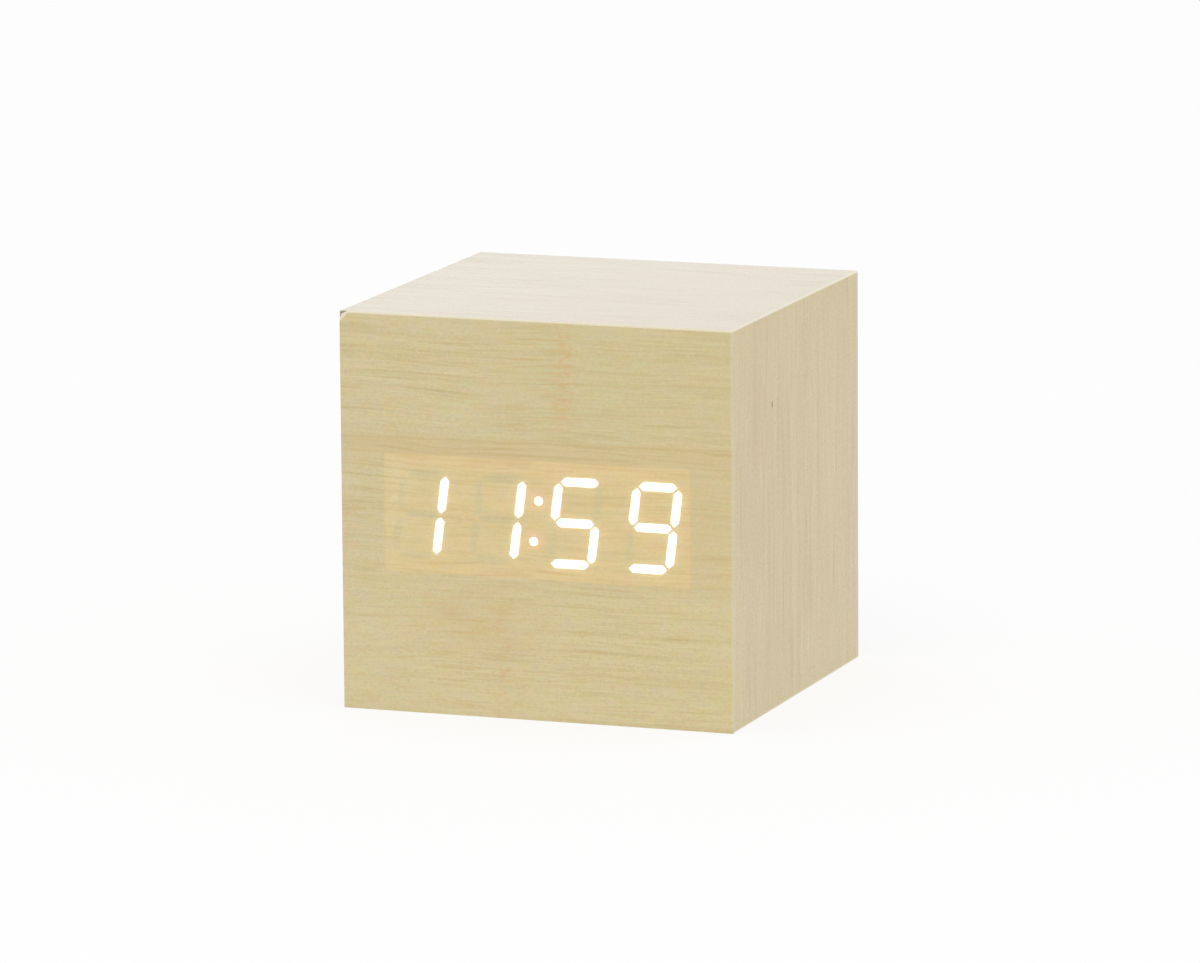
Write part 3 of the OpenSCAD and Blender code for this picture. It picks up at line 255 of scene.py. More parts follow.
def film_ground(film, x, z, grain):
    """The film's drifting ground colours, paler to the left, with painted light making it lighter
    towards the base.
    """
    hues = film.noise(15, 1, 4, detail=3, roughness=0.6, place=grain)
    colour = film.mix(film.rise(hues, 0.32, 0.68), FILM_GREEN, FILM_TAN)
    colour = film.mix(film.rise(x, 30, -30, 0, 0.5), colour, FILM_PALE)
    # Painted light: lighter towards the base, standing in for light from below
    colour = film.mix(film.rise(z, 40, 0, 0, 0.62), colour, FILM_LIGHT)
    mottle = film.noise(3.2, 1, 0.9, detail=3, roughness=0.6, shift=(9, 0, 4), place=grain)
    colour = film.mix(film.rise(mottle, 0.46, 0.68, 0, 0.72), colour, FILM_ROSY)
    colour = film.mix(film.rise(mottle, 0.5, 0.3, 0, 0.4), colour, FILM_LEAF)
    tint = film.noise(2.4, 1, 1.2, shift=(3, 0, 8))
    return film.swing(tint, 0.22, colour, (0.4, FILM_GREY), (0.4, FILM_YELLOW))


def film_grain(film, colour, z, grain, dashes, streaks, speckle):
    """Long bands, crowds of dashes and streaks along the grain, and a fine speckle."""
    bands = film.noise(75, 1, 1.1, shift=(8, 0, 3), place=grain)
    colour = film.swing(bands, 0.22, colour, (0.32, FILM_DASH), (0.32, FILM_LIGHT))
    crowd = film.rise(film.noise(22, 1, 6, detail=1, shift=(7, 0, 1)), 0.32, 0.66, 0.25, 1.0)
    crowd = film.times(crowd, film.rise(z, 19, 24, 0.75, 1.0))
    dash = film.times(film.rise(dashes, 0.43, 0.70, 0, 0.63), crowd)
    colour = film.mix(dash, colour, FILM_DASH)
    streak = film.times(film.rise(streaks, 0.53, 0.74, 0, 0.55), crowd)
    colour = film.mix(streak, colour, FILM_STREAK)
    return film.swing(speckle, 0.25, colour, (0.58, FILM_SPECK), (0.52, FILM_LIGHT))


def film_joints(film, colour, x, z, tilted, grain):
    """A darker, finely threaded strip above the window, and a faint joint below it."""
    ended = film.rise(tilted, STRIP_END, STRIP_TO)
    strip = film.times(film.rise(tilted, STRIP_FROM, STRIP_FULL), ended, 0.5)
    uneven = film.rise(film.noise(9, 1, 0.7, place=grain), 0.3, 0.7, 0.55, 1.0)
    strip = film.times(strip, uneven)
    beside_window = film.times(film.rise(x, 22, 27), film.rise(z, 21, 24), ended, 0.22)
    colour = film.mix(film.most(strip, beside_window), colour, FILM_JOINT)
    threads = film.rise(film.noise(13, 1, 0.45, shift=(3, 0, 6), place=grain), 0.45, 0.7)
    top_thread = film.times(film.hump(tilted, STRIP_TO - 0.1, 0.3), 0.3)
    thread = film.most(film.times(threads, strip, 0.9), top_thread)
    colour = film.mix(thread, colour, FILM_STREAK)
    above = film.times(film.rise(tilted, STRIP_TO + 0.1, 45.0), film.rise(x, -16, 4), 0.2)
    colour = film.mix(above, colour, FILM_SHADE)
    lower_joint = film.times(film.rise(z, 19.5, 21.6), film.rise(z, 22.0, 21.7), 0.08)
    return film.mix(lower_joint, colour, FILM_DASH)


def film_nodes(film, colour, x, z, tilted, grain):
    """Two node marks in small flecks, one above and one below, each with fans of fine streaks."""
    fans = film.noise(9, 1, 0.5, shift=(6, 0, 5), place=grain)
    upper_fan = film.times(film.hump(x, 0.5, 9.5), film.rise(tilted, STRIP_TO + 0.1, 46), 0.6)
    lower_fan = film.times(film.hump(x, -12, 15), film.rise(z, 21, 17), 0.36)
    fan = film.times(film.plus(upper_fan, lower_fan), film.rise(fans, 0.5, 0.68))
    colour = film.mix(fan, colour, FILM_FAN)
    clouds = film.noise(6, 1, 1.5, shift=(2, 0, 9), place=grain)
    patches = film.rise(clouds, 0.35, 0.65, 0.2, 1.0)
    patch = film.times(film.hump(x, -9, 16), film.hump(z, 15, 9), patches, 0.4)
    colour = film.mix(patch, colour, FILM_FAN)
    flecks = film.noise(1.1, 1, 0.5, detail=3, roughness=0.6, shift=(0, 0, 3))
    wander = film.plus(x, film.times(film.noise(5, 1, 1.8, detail=3), 3.0))
    upper_node = film.times(film.hump(wander, UPPER_NODE_X, 2.4), film.rise(z, 44, 50), 1.3)
    lower_node = film.times(film.hump(wander, LOWER_NODE_X, 2.1), film.rise(z, 20, 14), 0.8)
    flecked = film.rise(flecks, 0.42, 0.66, 0, 0.58)
    marks = film.times(film.plus(upper_node, lower_node), flecked)
    return film.mix(marks, colour, FILM_NODE)


def film_edge_highlights(film, colour, x, z):
    """Painted highlights along the top and right edges and round the chip."""
    colour = film.mix(film.rise(z, CASE_H - 0.36, CASE_H - 0.14, 0, 0.8), colour, EDGE_HIGHLIGHT)
    colour = film.mix(film.rise(x, SIDE_X - 0.3, SIDE_X - 0.05, 0, 0.2), colour, EDGE_HIGHLIGHT)
    chip_highlight = film.rise(from_corner(film, x, z), CHIP + 0.5, CHIP + 0.15, 0, 0.7)
    return film.mix(chip_highlight, colour, EDGE_HIGHLIGHT)


def front_film_finish():
    """Pale bamboo-print film: level grain, a strip joint, two node marks and a clear window."""
    film = Finish("front_bamboo_film", (0.66, 0.565, 0.33), 0.42, Specular_IOR_Level=0.4)
    x, y, z = film.axes(film.place)
    bow = film.noise(45, 1, 26, detail=1, shift=(2, 0, 4))
    grain = film.joined(x, 0.0, film.plus(z, film.times(bow, GRAIN_BOW)))
    tilted = film.minus(z, film.times(x, STRIP_TILT))
    dashes = film.noise(8.5, 1, 0.33, detail=3, place=grain)
    streaks = film.noise(20, 1, 0.6, detail=3, shift=(4, 0, 2), place=grain)
    speckle = film.noise(0.42, 1, 0.3, roughness=0.7)
    colour = film_ground(film, x, z, grain)
    colour = film_grain(film, colour, z, grain, dashes, streaks, speckle)
    colour = film_joints(film, colour, x, z, tilted, grain)
    colour = film_nodes(film, colour, x, z, tilted, grain)
    colour = film_edge_highlights(film, colour, x, z)
    beside, level = film.apart(x, WINDOW_X), film.apart(z, WINDOW_Z)
    half_w, half_h = WINDOW_W / 2, WINDOW_H / 2
    window = film.times(
        film.rise(beside, half_w + 0.1, half_w - 0.4), film.rise(level, half_h, half_h - 0.5))
    # Painted shade: the film darker over the window, where the hollow lies behind it, in streaks
    # along the grain
    hollow_shade = film.plus(
        film.rise(streaks, 0.42, 0.70, 0.165, 0.255), film.rise(dashes, 0.42, 0.68, 0, 0.09))
    film.set("Base Color", film.mix(film.times(window, hollow_shade), colour, FILM_HOLLOW_SHADE))
    clear = film.times(window, film.rise(dashes, 0.40, 0.66, 0.275, 0.25))
    # The sheet's back is open over the window, so that light is dimmed by one face only
    behind = film.times(
        film.rise(y, FRONT_Y + 0.1, FRONT_Y + 0.15),
        film.rise(beside, half_w + 0.8, half_w + 0.7),
        film.rise(level, half_h + 0.8, half_h + 0.7))
    film.set("Alpha", film.minus(1.0, film.most(clear, behind)))
    film.set("Roughness", film.rise(dashes, 0.2, 0.8, 0.38, 0.5))
    film.relief(film.minus(film.times(speckle, 0.5), dashes), 0.012)
    return film.material


# Film round the sides, and the board under it

WRAP_YELLOW, WRAP_PINK = (0.688, 0.554, 0.297), (0.668, 0.518, 0.293)
WRAP_LINE, WRAP_LIGHT = (0.50, 0.38, 0.20), (0.82, 0.73, 0.52)
WRAP_ENDS_SHADE, WRAP_END_HIGHLIGHT = (0.665, 0.545, 0.265), (0.70, 0.63, 0.49)
WRAP_TOP_SHEEN_LEFT, WRAP_TOP_SHEEN_RIGHT = (0.62, 0.575, 0.49), (0.69, 0.645, 0.59)
WRAP_BOW = 4.0
FLECK_AT, FLECK_BROWN = (32.0, -11.6, 48.0), (0.16, 0.08, 0.03)
FIBRE_PALE, FIBRE_DARK = (0.60, 0.45, 0.29), (0.40, 0.275, 0.16)
FIBRE_SPECK, GLUE_LINE = (0.27, 0.17, 0.09), (0.17, 0.10, 0.05)


def wrap_film_finish():
    """The same film round the four sides, pinker, with its fine grain running round the box."""
    film = Finish("wrap_wood_film", (0.67, 0.565, 0.37), 0.25, Specular_IOR_Level=0.7)
    x, y, z = film.axes(film.place)
    bow = film.noise(40, 60, 40, detail=1)
    grain = film.joined(x, film.plus(y, film.times(bow, WRAP_BOW)), z)
    bands = film.noise(90, 5.0, 90, roughness=0.6, place=grain)
    colour = film.mix(film.rise(bands, 0.32, 0.68), WRAP_YELLOW, WRAP_PINK)
    facing = film.axes(film.coordinates.outputs["Normal"])[Z]
    upright = film.rise(film.apart(facing), 0.9, 0.5)
    # Painted shade: the upright sides darker and yellower towards their top and bottom
    ends = film.most(film.rise(z, 42, 62, 0, 0.65), film.rise(z, 14, 0, 0, 0.7))
    colour = film.mix(film.times(ends, upright), colour, WRAP_ENDS_SHADE)
    lines = film.noise(20, 0.8, 20, detail=4, roughness=0.6, place=grain)
    colour = film.mix(film.rise(lines, 0.47, 0.74, 0, 0.5), colour, WRAP_LINE)
    pale = film.noise(9, 0.6, 9, detail=3, roughness=0.6, shift=(1, 4, 2), place=grain)
    colour = film.mix(film.rise(pale, 0.52, 0.76, 0, 0.4), colour, WRAP_LIGHT)
    speckle = film.noise(0.45, 0.7, 0.45, roughness=0.7)
    colour = film.swing(speckle, 0.25, colour, (0.42, WRAP_LINE), (0.3, WRAP_LIGHT))
    fleck_x, fleck_y, fleck_z = (film.minus(a, b) for a, b in zip((x, y, z), FLECK_AT))
    fleck = film.plus(film.times(fleck_y, fleck_y, 9.0), film.times(fleck_z, fleck_z, 2.2))
    fleck = film.plus(fleck, film.times(fleck_x, fleck_x))
    colour = film.mix(film.rise(fleck, 0.9, 0.3, 0, 0.9), colour, FLECK_BROWN)
    # Painted highlight along the front and rear edges of the wrap
    from_end = film.least(film.minus(y, FRONT_Y), film.minus(REAR_Y, y))
    colour = film.mix(film.rise(from_end, 1.1, 0.2, 0, 0.5), colour, WRAP_END_HIGHLIGHT)
    # Painted highlight along the four folded corners
    from_side = film.minus(SIDE_X, film.apart(x))
    from_top = film.minus(MIDDLE_Z, film.apart(z, MIDDLE_Z))
    from_fold = film.most(from_side, from_top)
    colour = film.mix(film.rise(from_fold, 0.38, 0.14, 0, 0.8), colour, EDGE_HIGHLIGHT)
    # Painted shade in the gap behind the chip, on the wrap's front edge
    at_front = film.rise(y, FRONT_Y + 0.4, FRONT_Y + 0.3)
    chip_shade = film.times(film.rise(from_corner(film, x, z), 1.5, 0.9), at_front)
    colour = film.mix(film.times(chip_shade, 0.9), colour, CHIP_SHADE)
    # Painted sheen: the upward face is paler and greyer than the sides, more so to the right
    top_sheen = film.mix(film.rise(x, -30, 30), WRAP_TOP_SHEEN_LEFT, WRAP_TOP_SHEEN_RIGHT)
    upward = film.rise(facing, 0.5, 0.9)
    film.set("Base Color", film.mix(film.times(upward, 0.45), colour, top_sheen))
    film.set("Roughness", film.rise(lines, 0.3, 0.8, 0.21, 0.3))
    film.relief(film.minus(pale, lines), 0.002)
    return film.material


def fibreboard_finish():
    """Raw sawn fibreboard: pressed fibres, darker specks and a thin glue line along each mitre."""
    board = Finish("raw_fibreboard", (0.50, 0.36, 0.22), 0.85, Specular_IOR_Level=0.2)
    x, y, z = board.axes(board.place)
    fibres = board.noise(0.9, 0.35, 0.9, detail=4, roughness=0.7)
    colour = board.mix(board.rise(fibres, 0.3, 0.72), FIBRE_PALE, FIBRE_DARK)
    specks = board.noise(0.35, 0.35, 0.35, detail=1, shift=(4, 2, 6))
    colour = board.mix(board.rise(specks, 0.62, 0.75, 0, 0.55), colour, FIBRE_SPECK)
    out_x = board.minus(board.apart(x), SIDE_X)
    out_z = board.minus(board.apart(z, MIDDLE_Z), MIDDLE_Z)
    mitre = board.rise(board.apart(out_x, out_z), 0.16, 0.05)
    at_rear = board.rise(y, REAR_Y - 2.5, REAR_Y - 1.5)
    colour = board.mix(board.times(mitre, at_rear, 0.75), colour, GLUE_LINE)
    # Painted shade on the panel's edge in the gap behind the chip
    at_front = board.rise(y, FRONT_Y + 1.0, FRONT_Y + 0.3)
    chip_shade = board.times(board.rise(from_corner(board, x, z), 2.4, 1.6), at_front)
    board.set("Base Color", board.mix(chip_shade, colour, CHIP_SHADE))
    board.relief(board.plus(fibres, board.times(specks, 0.4)), 0.08, 0.12)
    return board.material


# Display

LIT_STRENGTH, UNLIT_STRENGTH = 2.8, 1.0
DIGITS, DIGIT_PITCH, DIGIT_LEAN = "1159", 12.7, math.tan(math.radians(7.6))
LIT_BARS = {"1": "bc", "5": "acdfg", "9": "abcdfg"}
BAR_PLACES = {
    "a": (0, 1), "b": (1, 0.5), "c": (1, -0.5), "d": (0, -1), "f": (-1, 0.5), "g": (0, 0)}
CORNER_X, CORNER_Z, BAR_W, TIP_GAP = 3.375, 6.425, 1.35, 0.27
DOT_X, DOT_Z = 0.42, 3.175
# Colours of the painted glow in the display block's emission
GLOW_GREEN, GLOW_TAN = (0.43, 0.35, 0.13), (0.51, 0.345, 0.135)
GLOW_WARM, GLOW_COOL = (0.60, 0.36, 0.14), (0.38, 0.345, 0.12)
GLOW_RIM, GLOW_LEFT, GLOW_EDGE = (0.54, 0.36, 0.13), (0.52, 0.41, 0.21), (0.68, 0.50, 0.23)
GLOW_DOT, SPILT_LIGHT = (0.75, 0.36, 0.23), (0.66, 0.86, 1.0)


def from_lit_bars(block, x, z):
    """How far a point on the block's face lies outside the nearest lit bar, in millimetres."""
    height = block.minus(z, MIDDLE_Z)
    upright_x = block.minus(x, block.times(height, DIGIT_LEAN))
    nearest = None
    for place, digit in enumerate(DIGITS):
        middle = (place - (len(DIGITS) - 1) / 2) * DIGIT_PITCH
        for bar in LIT_BARS[digit]:
            side, level = BAR_PLACES[bar]
            away_x = block.apart(upright_x, middle + side * CORNER_X)
            away_z = block.apart(height, level * CORNER_Z)
            across, half = (away_x, CORNER_Z / 2) if side else (away_z, CORNER_X)
            beside = block.minus(across, BAR_W / 2)
            past = block.minus(block.plus(away_x, away_z), half - TIP_GAP)
            outside = block.most(beside, block.times(past, math.sqrt(0.5)))
            nearest = outside if nearest is None else block.least(nearest, outside)
    return nearest


def housing_finish():
    """White display block whose emission is painted light: a warm glow inside, and painted bloom of
    light that spills from the lit bars and dots.
    """
    block = Finish(
        "display_housing_white", (0.86, 0.82, 0.70), 0.55, Emission_Strength=LIT_STRENGTH)
    x, _, z = block.axes(block.place)
    mould = block.noise(0.4, 0.4, 0.4)
    block.set("Base Color", block.mix(mould, (0.88, 0.84, 0.72), (0.83, 0.79, 0.68)))
    # Painted light: the block is no lamp, but its emission glows warm, with brighter tints at the
    # rims, the left end, the edges and round the dots
    drift = block.noise(9, 1, 6)
    glow = block.mix(block.rise(drift, 0.35, 0.7), GLOW_GREEN, GLOW_TAN)
    warmth = block.noise(3.5, 1, 1.6, shift=(4, 0, 7))
    glow = block.swing(warmth, 0.22, glow, (0.6, GLOW_WARM), (0.6, GLOW_COOL))
    beside, level = block.apart(x), block.apart(z, MIDDLE_Z)
    rim = block.most(block.rise(level, 6.6, 8.2), block.rise(beside, 22.9, 24.3))
    glow = block.mix(block.times(rim, 0.8), glow, GLOW_RIM)
    glow = block.mix(block.rise(x, -18, -24.5), glow, GLOW_LEFT)
    edge = block.most(block.rise(level, 8.8, 9.4), block.rise(beside, 24.5, 25.1))
    glow = block.mix(block.times(edge, 0.9), glow, GLOW_EDGE)
    # Painted bloom: bluish light just round the lit bars and the dots
    spill = block.rise(from_lit_bars(block, x, z), 0.04, -0.04)
    for sign in (-1, 1):
        away_x = block.minus(x, sign * DOT_X)
        away_z = block.minus(z, MIDDLE_Z + sign * DOT_Z)
        away_squared = block.plus(block.times(away_x, away_x), block.times(away_z, away_z))
        glow = block.mix(block.rise(away_squared, 5.0, 0.8, 0, 0.85), glow, GLOW_DOT)
        spill = block.most(spill, block.rise(away_squared, 0.56, 0.38))
    dim = block.mix(1 / LIT_STRENGTH, (0, 0, 0), glow)
    block.set("Emission Color", block.mix(spill, dim, SPILT_LIGHT))
    block.relief(mould, 0.02)
    return block.material


def lit_fill_finish():
    """Clear fill, slightly hazy, with the light of its chip behind it."""
    fill = Finish("lit_fill_white", (0.95, 0.95, 0.92), 0.3, Emission_Strength=LIT_STRENGTH)
    haze = fill.noise(1.2, 1.2, 1.2)
    fill.set("Base Color", fill.mix(haze, (0.97, 0.97, 0.94), (0.92, 0.92, 0.88)))
    fill.set("Emission Color", fill.mix(haze, (0.84, 0.91, 1.0), (0.82, 0.88, 0.95)))
    return fill.material


def dark_fill_finish():
    """The same fill unlit: a greyish green that only just shows through the film, with a painted
    glow in its emission that is brighter at the left end.
    """
    fill = Finish("dark_fill_grey", (0.60, 0.61, 0.52), 0.35, Emission_Strength=UNLIT_STRENGTH)
    x = fill.axes(fill.place)[X]
    haze = fill.noise(1.5, 1.5, 1.5)
    fill.set("Base Color", fill.mix(haze, (0.64, 0.65, 0.56), (0.55, 0.56, 0.47)))
    # Painted light: the unlit fill glows, more brightly towards the left end
    glow = fill.mix(haze, (0.455, 0.405, 0.23), (0.42, 0.375, 0.21))
    fill.set("Emission Color", fill.mix(fill.rise(x, -17, -23), glow, (0.485, 0.43, 0.243)))
    fill.relief(haze, 0.01)
    return fill.material


# Moulded, plated and insulated finishes

MASK_DARK, MASK_LIGHT, MASK_TRACK = (0.035, 0.19, 0.085), (0.055, 0.25, 0.12), (0.09, 0.34, 0.15)
TRACK_SCALE = 0.11
TRACK_SIZES = {"Scale": 1.0, "Mortar Size": 0.03, "Brick Width": 0.62, "Row Height": 0.21}
TINNED_PAD, PAD_PITCH = (0.70, 0.70, 0.66), 2.4
SLEEVE_BLUE, SLEEVE_WORN = (0.055, 0.16, 0.29), (0.12, 0.25, 0.38)
SLEEVE_SILVER, BARE_STEEL = (0.62, 0.64, 0.66), (0.74, 0.73, 0.70)
MIDDLE_CELL_LOW, MIDDLE_CELL_HIGH = 23.2, 34.2


def moulded_finish(name, colour, roughness, grain_mm, depth_mm, edge_mm):
    """Moulded plastic: a fine matt texture, with rounded edges and slight unevenness of shade."""
    plastic = Finish(name, colour, roughness)
    grain = plastic.noise(grain_mm, grain_mm, grain_mm, roughness=0.6)
    shade = plastic.noise(14, 14, 14, detail=3, shift=(5, 1, 9))
    light = tuple(min(1, c * 1.18 + 0.004) for c in colour)
    deep = tuple(c * 0.84 for c in colour)
    tone = plastic.mix(plastic.rise(shade, 0.3, 0.7), deep, light)
    plastic.set("Base Color", plastic.mix(plastic.rise(grain, 0.35, 0.7, 0, 0.35), tone, light))
    plastic.set("Roughness", plastic.rise(grain, 0.25, 0.75, roughness - 0.07, roughness + 0.07))
    plastic.relief(grain, depth_mm, edge_mm)
    return plastic.material


def plated_finish(name, colour, roughness, along, edge_mm=0.05):
    """Plated metal with fine drawing lines along one axis and faint dulling."""
    metal = Finish(name, colour, roughness, metallic=1.0)
    size = [0.12, 0.12, 0.12]
    size[along] = 3.0
    lines = metal.noise(*size, roughness=0.6)
    dull = metal.noise(3, 3, 3, detail=3, shift=(1, 7, 3))
    deep = tuple(c * 0.78 for c in colour)
    metal.set("Base Color", metal.mix(metal.rise(dull, 0.45, 0.75, 0, 0.7), colour, deep))
    worn = metal.plus(lines, dull)
    metal.set("Roughness", metal.rise(worn, 0.6, 1.4, roughness - 0.08, roughness + 0.14))
    metal.relief(lines, 0.01, edge_mm)
    return metal.material


def circuit_board_finish():
    """Green solder mask over copper tracks, with small tinned pads."""
    board = Finish("green_solder_mask", (0.05, 0.22, 0.11), 0.32)
    x, _, z = board.axes(board.place)
    weave = board.noise(0.5, 0.5, 0.5)
    tracks = board.nodes.new("ShaderNodeTexBrick")
    tracks.offset = 0.37
    tracks.squash = 0.6
    for socket, value in TRACK_SIZES.items():
        tracks.inputs[socket].default_value = value
    flat = board.joined(board.times(x, TRACK_SCALE), board.times(z, TRACK_SCALE), 0.0)
    board.links.new(flat, tracks.inputs["Vector"])
    between = tracks.outputs["Fac"]
    colour = board.mix(between, board.mix(weave, MASK_DARK, MASK_LIGHT), MASK_TRACK)
    pads = board.rise(board.cells(PAD_PITCH), 0.17, 0.12)
    board.set("Base Color", board.mix(board.times(pads, 0.9), colour, TINNED_PAD))
    board.set("Roughness", board.rise(weave, 0.2, 0.8, 0.28, 0.4))
    board.relief(board.plus(between, board.times(weave, 0.2)), 0.03, 0.06)
    return board.material


def cell_finish():
    """Dry cells: a sleeve with a plain band at the positive end, and bare steel at both ends."""
    cell = Finish("dry_cell", (0.20, 0.33, 0.46), 0.32)
    x, _, z = cell.axes(cell.place)
    # The middle one of the three cells lies the other way round
    turned = cell.times(
        cell.rise(z, MIDDLE_CELL_LOW, MIDDLE_CELL_LOW + 0.1),
        cell.rise(z, MIDDLE_CELL_HIGH, MIDDLE_CELL_HIGH - 0.1))
    along = cell.times(x, cell.minus(1.0, cell.times(turned, 2.0)))
    scuffs = cell.noise(2.5, 0.25, 0.25, detail=3, roughness=0.65)
    colour = cell.mix(cell.rise(scuffs, 0.5, 0.8, 0, 0.5), SLEEVE_BLUE, SLEEVE_WORN)
    band = cell.rise(along, 11.95, 12.0)
    colour = cell.mix(band, colour, SLEEVE_SILVER)
    stripe = cell.times(cell.rise(along, 10.75, 10.8), cell.rise(along, 11.45, 11.4))
    colour = cell.mix(stripe, colour, SLEEVE_SILVER)
    bare = cell.most(cell.rise(along, 22.85, 22.9), cell.rise(along, -20.05, -20.1))
    cell.set("Base Color", cell.mix(bare, colour, BARE_STEEL))
    cell.set("Metallic", cell.most(bare, cell.times(band, 0.85)))
    cell.set("Roughness", cell.rise(scuffs, 0.3, 0.8, 0.25, 0.42))
    cell.relief(scuffs, 0.01, 0.1)
    return cell.material


def insulation_finish(name, colour):
    """Soft insulation with wiped marks and a faint extrusion texture."""
    skin = Finish(name, colour, 0.5)
    wipe = skin.noise(1.5, 1.5, 1.5, detail=3)
    light = tuple(min(1, c * 1.5 + 0.01) for c in colour)
    skin.set("Base Color", skin.mix(skin.rise(wipe, 0.4, 0.8, 0, 0.6), colour, light))
    skin.set("Roughness", skin.rise(wipe, 0.2, 0.8, 0.42, 0.6))
    skin.relief(skin.noise(0.3, 0.6, 0.3), 0.02)
    return skin.material


def ribbon_finish():
    """Grey ribbon cable with one red edge wire."""
    ribbon = Finish("ribbon_insulation", (0.42, 0.43, 0.45), 0.5)
    x = ribbon.axes(ribbon.place)[X]
    wipe = ribbon.noise(2, 2, 2, detail=3)
    grey = ribbon.mix(wipe, (0.47, 0.48, 0.50), (0.36, 0.37, 0.39))
    edge_wire = ribbon.rise(x, -2.35, -2.45)
    ribbon.set("Base Color", ribbon.mix(edge_wire, grey, (0.50, 0.06, 0.04)))
    ribbon.set("Roughness", ribbon.rise(wipe, 0.2, 0.8, 0.42, 0.58))
    ribbon.relief(wipe, 0.02)
    return ribbon.material


def give(material, *names):
    """Puts one finish on CAD nodes."""
    for name in names:
        slots = nodes[name].data.materials
        slots.clear()
        slots.append(material)


def dress_nodes():
    """Puts its finish on every node of the frame that shows as it is."""
    give(
        fibreboard_finish(), "front_panel", "top_board", "bottom_board", "left_board",
        "right_board", "corner_posts")
    give(housing_finish(), "display_housing")
    give(lit_fill_finish(), "lit_segments", "colon_dots")
    give(dark_fill_finish(), "unlit_segments")
    give(circuit_board_finish(), "main_board", "key_board")
    give(cell_finish(), "battery_cells")
    give(ribbon_finish(), "ribbon_cable")
    give(insulation_finish("red_wire", (0.48, 0.04, 0.03)), "red_lead")
    give(insulation_finish("black_wire", (0.02, 0.02, 0.022)), "black_lead")
    give(
        moulded_finish(
            "display_resin", (0.78, 0.74, 0.62), roughness=0.4,
            grain_mm=0.8, depth_mm=0.02, edge_mm=0.05),
        "display_base")
    give(
        moulded_finish(
            "chip_yellow", (0.9, 0.72, 0.2), roughness=0.3,
            grain_mm=0.2, depth_mm=0.005, edge_mm=0.03),
        "led_chips")
    give(
        moulded_finish(
            "white_nylon", (0.84, 0.83, 0.78), roughness=0.48,
            grain_mm=0.3, depth_mm=0.02, edge_mm=0.1),
        "board_spacers", "ribbon_sockets", "set_plunger", "up_plunger", "down_plunger")
    give(
        moulded_finish(
            "black_package", (0.03, 0.03, 0.033), roughness=0.5,
            grain_mm=0.16, depth_mm=0.02, edge_mm=0.08),
        "microcontroller", "driver_transistors", "segment_resistors", "buzzer",
        "switch_bodies", "inlet_tongue")
    give(
        moulded_finish(
            "cover_black", (0.021, 0.021, 0.023), roughness=0.56,
            grain_mm=0.22, depth_mm=0.035, edge_mm=0.18),
        "rear_cover", "battery_door")
    give(
        moulded_finish(
            "button_black", (0.034, 0.034, 0.037), roughness=0.42,
            grain_mm=0.3, depth_mm=0.012, edge_mm=0.1),
        "set_button", "up_button", "down_button")
    give(plated_finish("tinned_pins", (0.75, 0.75, 0.73), 0.32, along=Y), "display_pins")
    give(
        plated_finish("zinc_screws", (0.68, 0.68, 0.66), 0.34, along=X),
        "board_screws", "key_screws")
    give(
        plated_finish("bright_can", (0.78, 0.78, 0.77), 0.24, along=Y),
        "crystal", "inlet_shell")
    give(plated_finish("aluminium_can", (0.72, 0.73, 0.75), 0.36, along=Y), "capacitor")
    give(
        plated_finish("black_oxide", (0.10, 0.10, 0.105), 0.4, along=X, edge_mm=0.08),
        "rear_screws")
    give(
        plated_finish("nickel", (0.76, 0.74, 0.69), 0.28, along=Z),
        "contact_plates", "contact_springs")


# New pieces

TINY = 0.01
SHEET_SMOOTH, MARK_SMOOTH = math.radians(35), math.radians(40)
CHIP_STEPS = 2
FRONT_EASE, FRONT_EASE_STEPS = 0.07, 2
FOLD_R, FOLD_STEPS = 0.22, 4
COVER_Y, MARK_Z = 28.9, 55.6
SET_X, UP_X, DOWN_X = 4.1, -4.1, -12.3
MARK_R, MARK_H, MARK_SINK = 1.0, 0.25, 0.05
BAR_MARK_HALF_H = 0.32
BAR_MARK_ROUND, BAR_MARK_STEPS = 0.3, 4
TRIANGLE_ROUND, TRIANGLE_STEPS = 0.16, 3
MARK_EASE, MARK_EASE_STEPS = 0.06, 2


def start_block(name, low, high):
    """A block between two corners in millimetres, as the only selected object."""
    bpy.ops.object.select_all(action="DESELECT")
    low, high = Vector(low) * MM, Vector(high) * MM
    bpy.ops.mesh.primitive_cube_add(size=1, location=(low + high) / 2)
    piece = bpy.context.object
    piece.name = piece.data.name = name
    piece.scale = high - low
    bpy.ops.object.transform_apply(location=True, rotation=True, scale=True)
    return piece


def pick(piece, kind, wanted):
    """In edit mode, selects only the edges or faces that the test wants, by their place."""
    bpy.ops.mesh.select_mode(type="EDGE" if kind == "edges" else "FACE")
    bpy.ops.mesh.select_all(action="DESELECT")
    shape = bmesh.from_edit_mesh(piece.data)
    for part in getattr(shape, kind):
        if wanted([v.co / MM for v in part.verts]):
            part.select_set(True)
    bmesh.update_edit_mesh(piece.data)


def ease(piece, wanted, width_mm, steps):
    """In edit mode, rounds the edges that the test wants."""
    pick(piece, "edges", wanted)
    bpy.ops.mesh.bevel(offset=width_mm * MM, segments=steps, profile=0.5, affect="EDGES")


def depth(points):
    """How far points lie apart from front to back."""
    return max(p.y for p in points) - min(p.y for p in points)


def finish_piece(piece, material, body, replaced=()):
    """Gives a piece its finish, the body that it rides on and the nodes that it replaces."""
    piece.data.materials.clear()
    piece.data.materials.append(material)
    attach(piece, body)
    if replaced:
        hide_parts(*replaced)


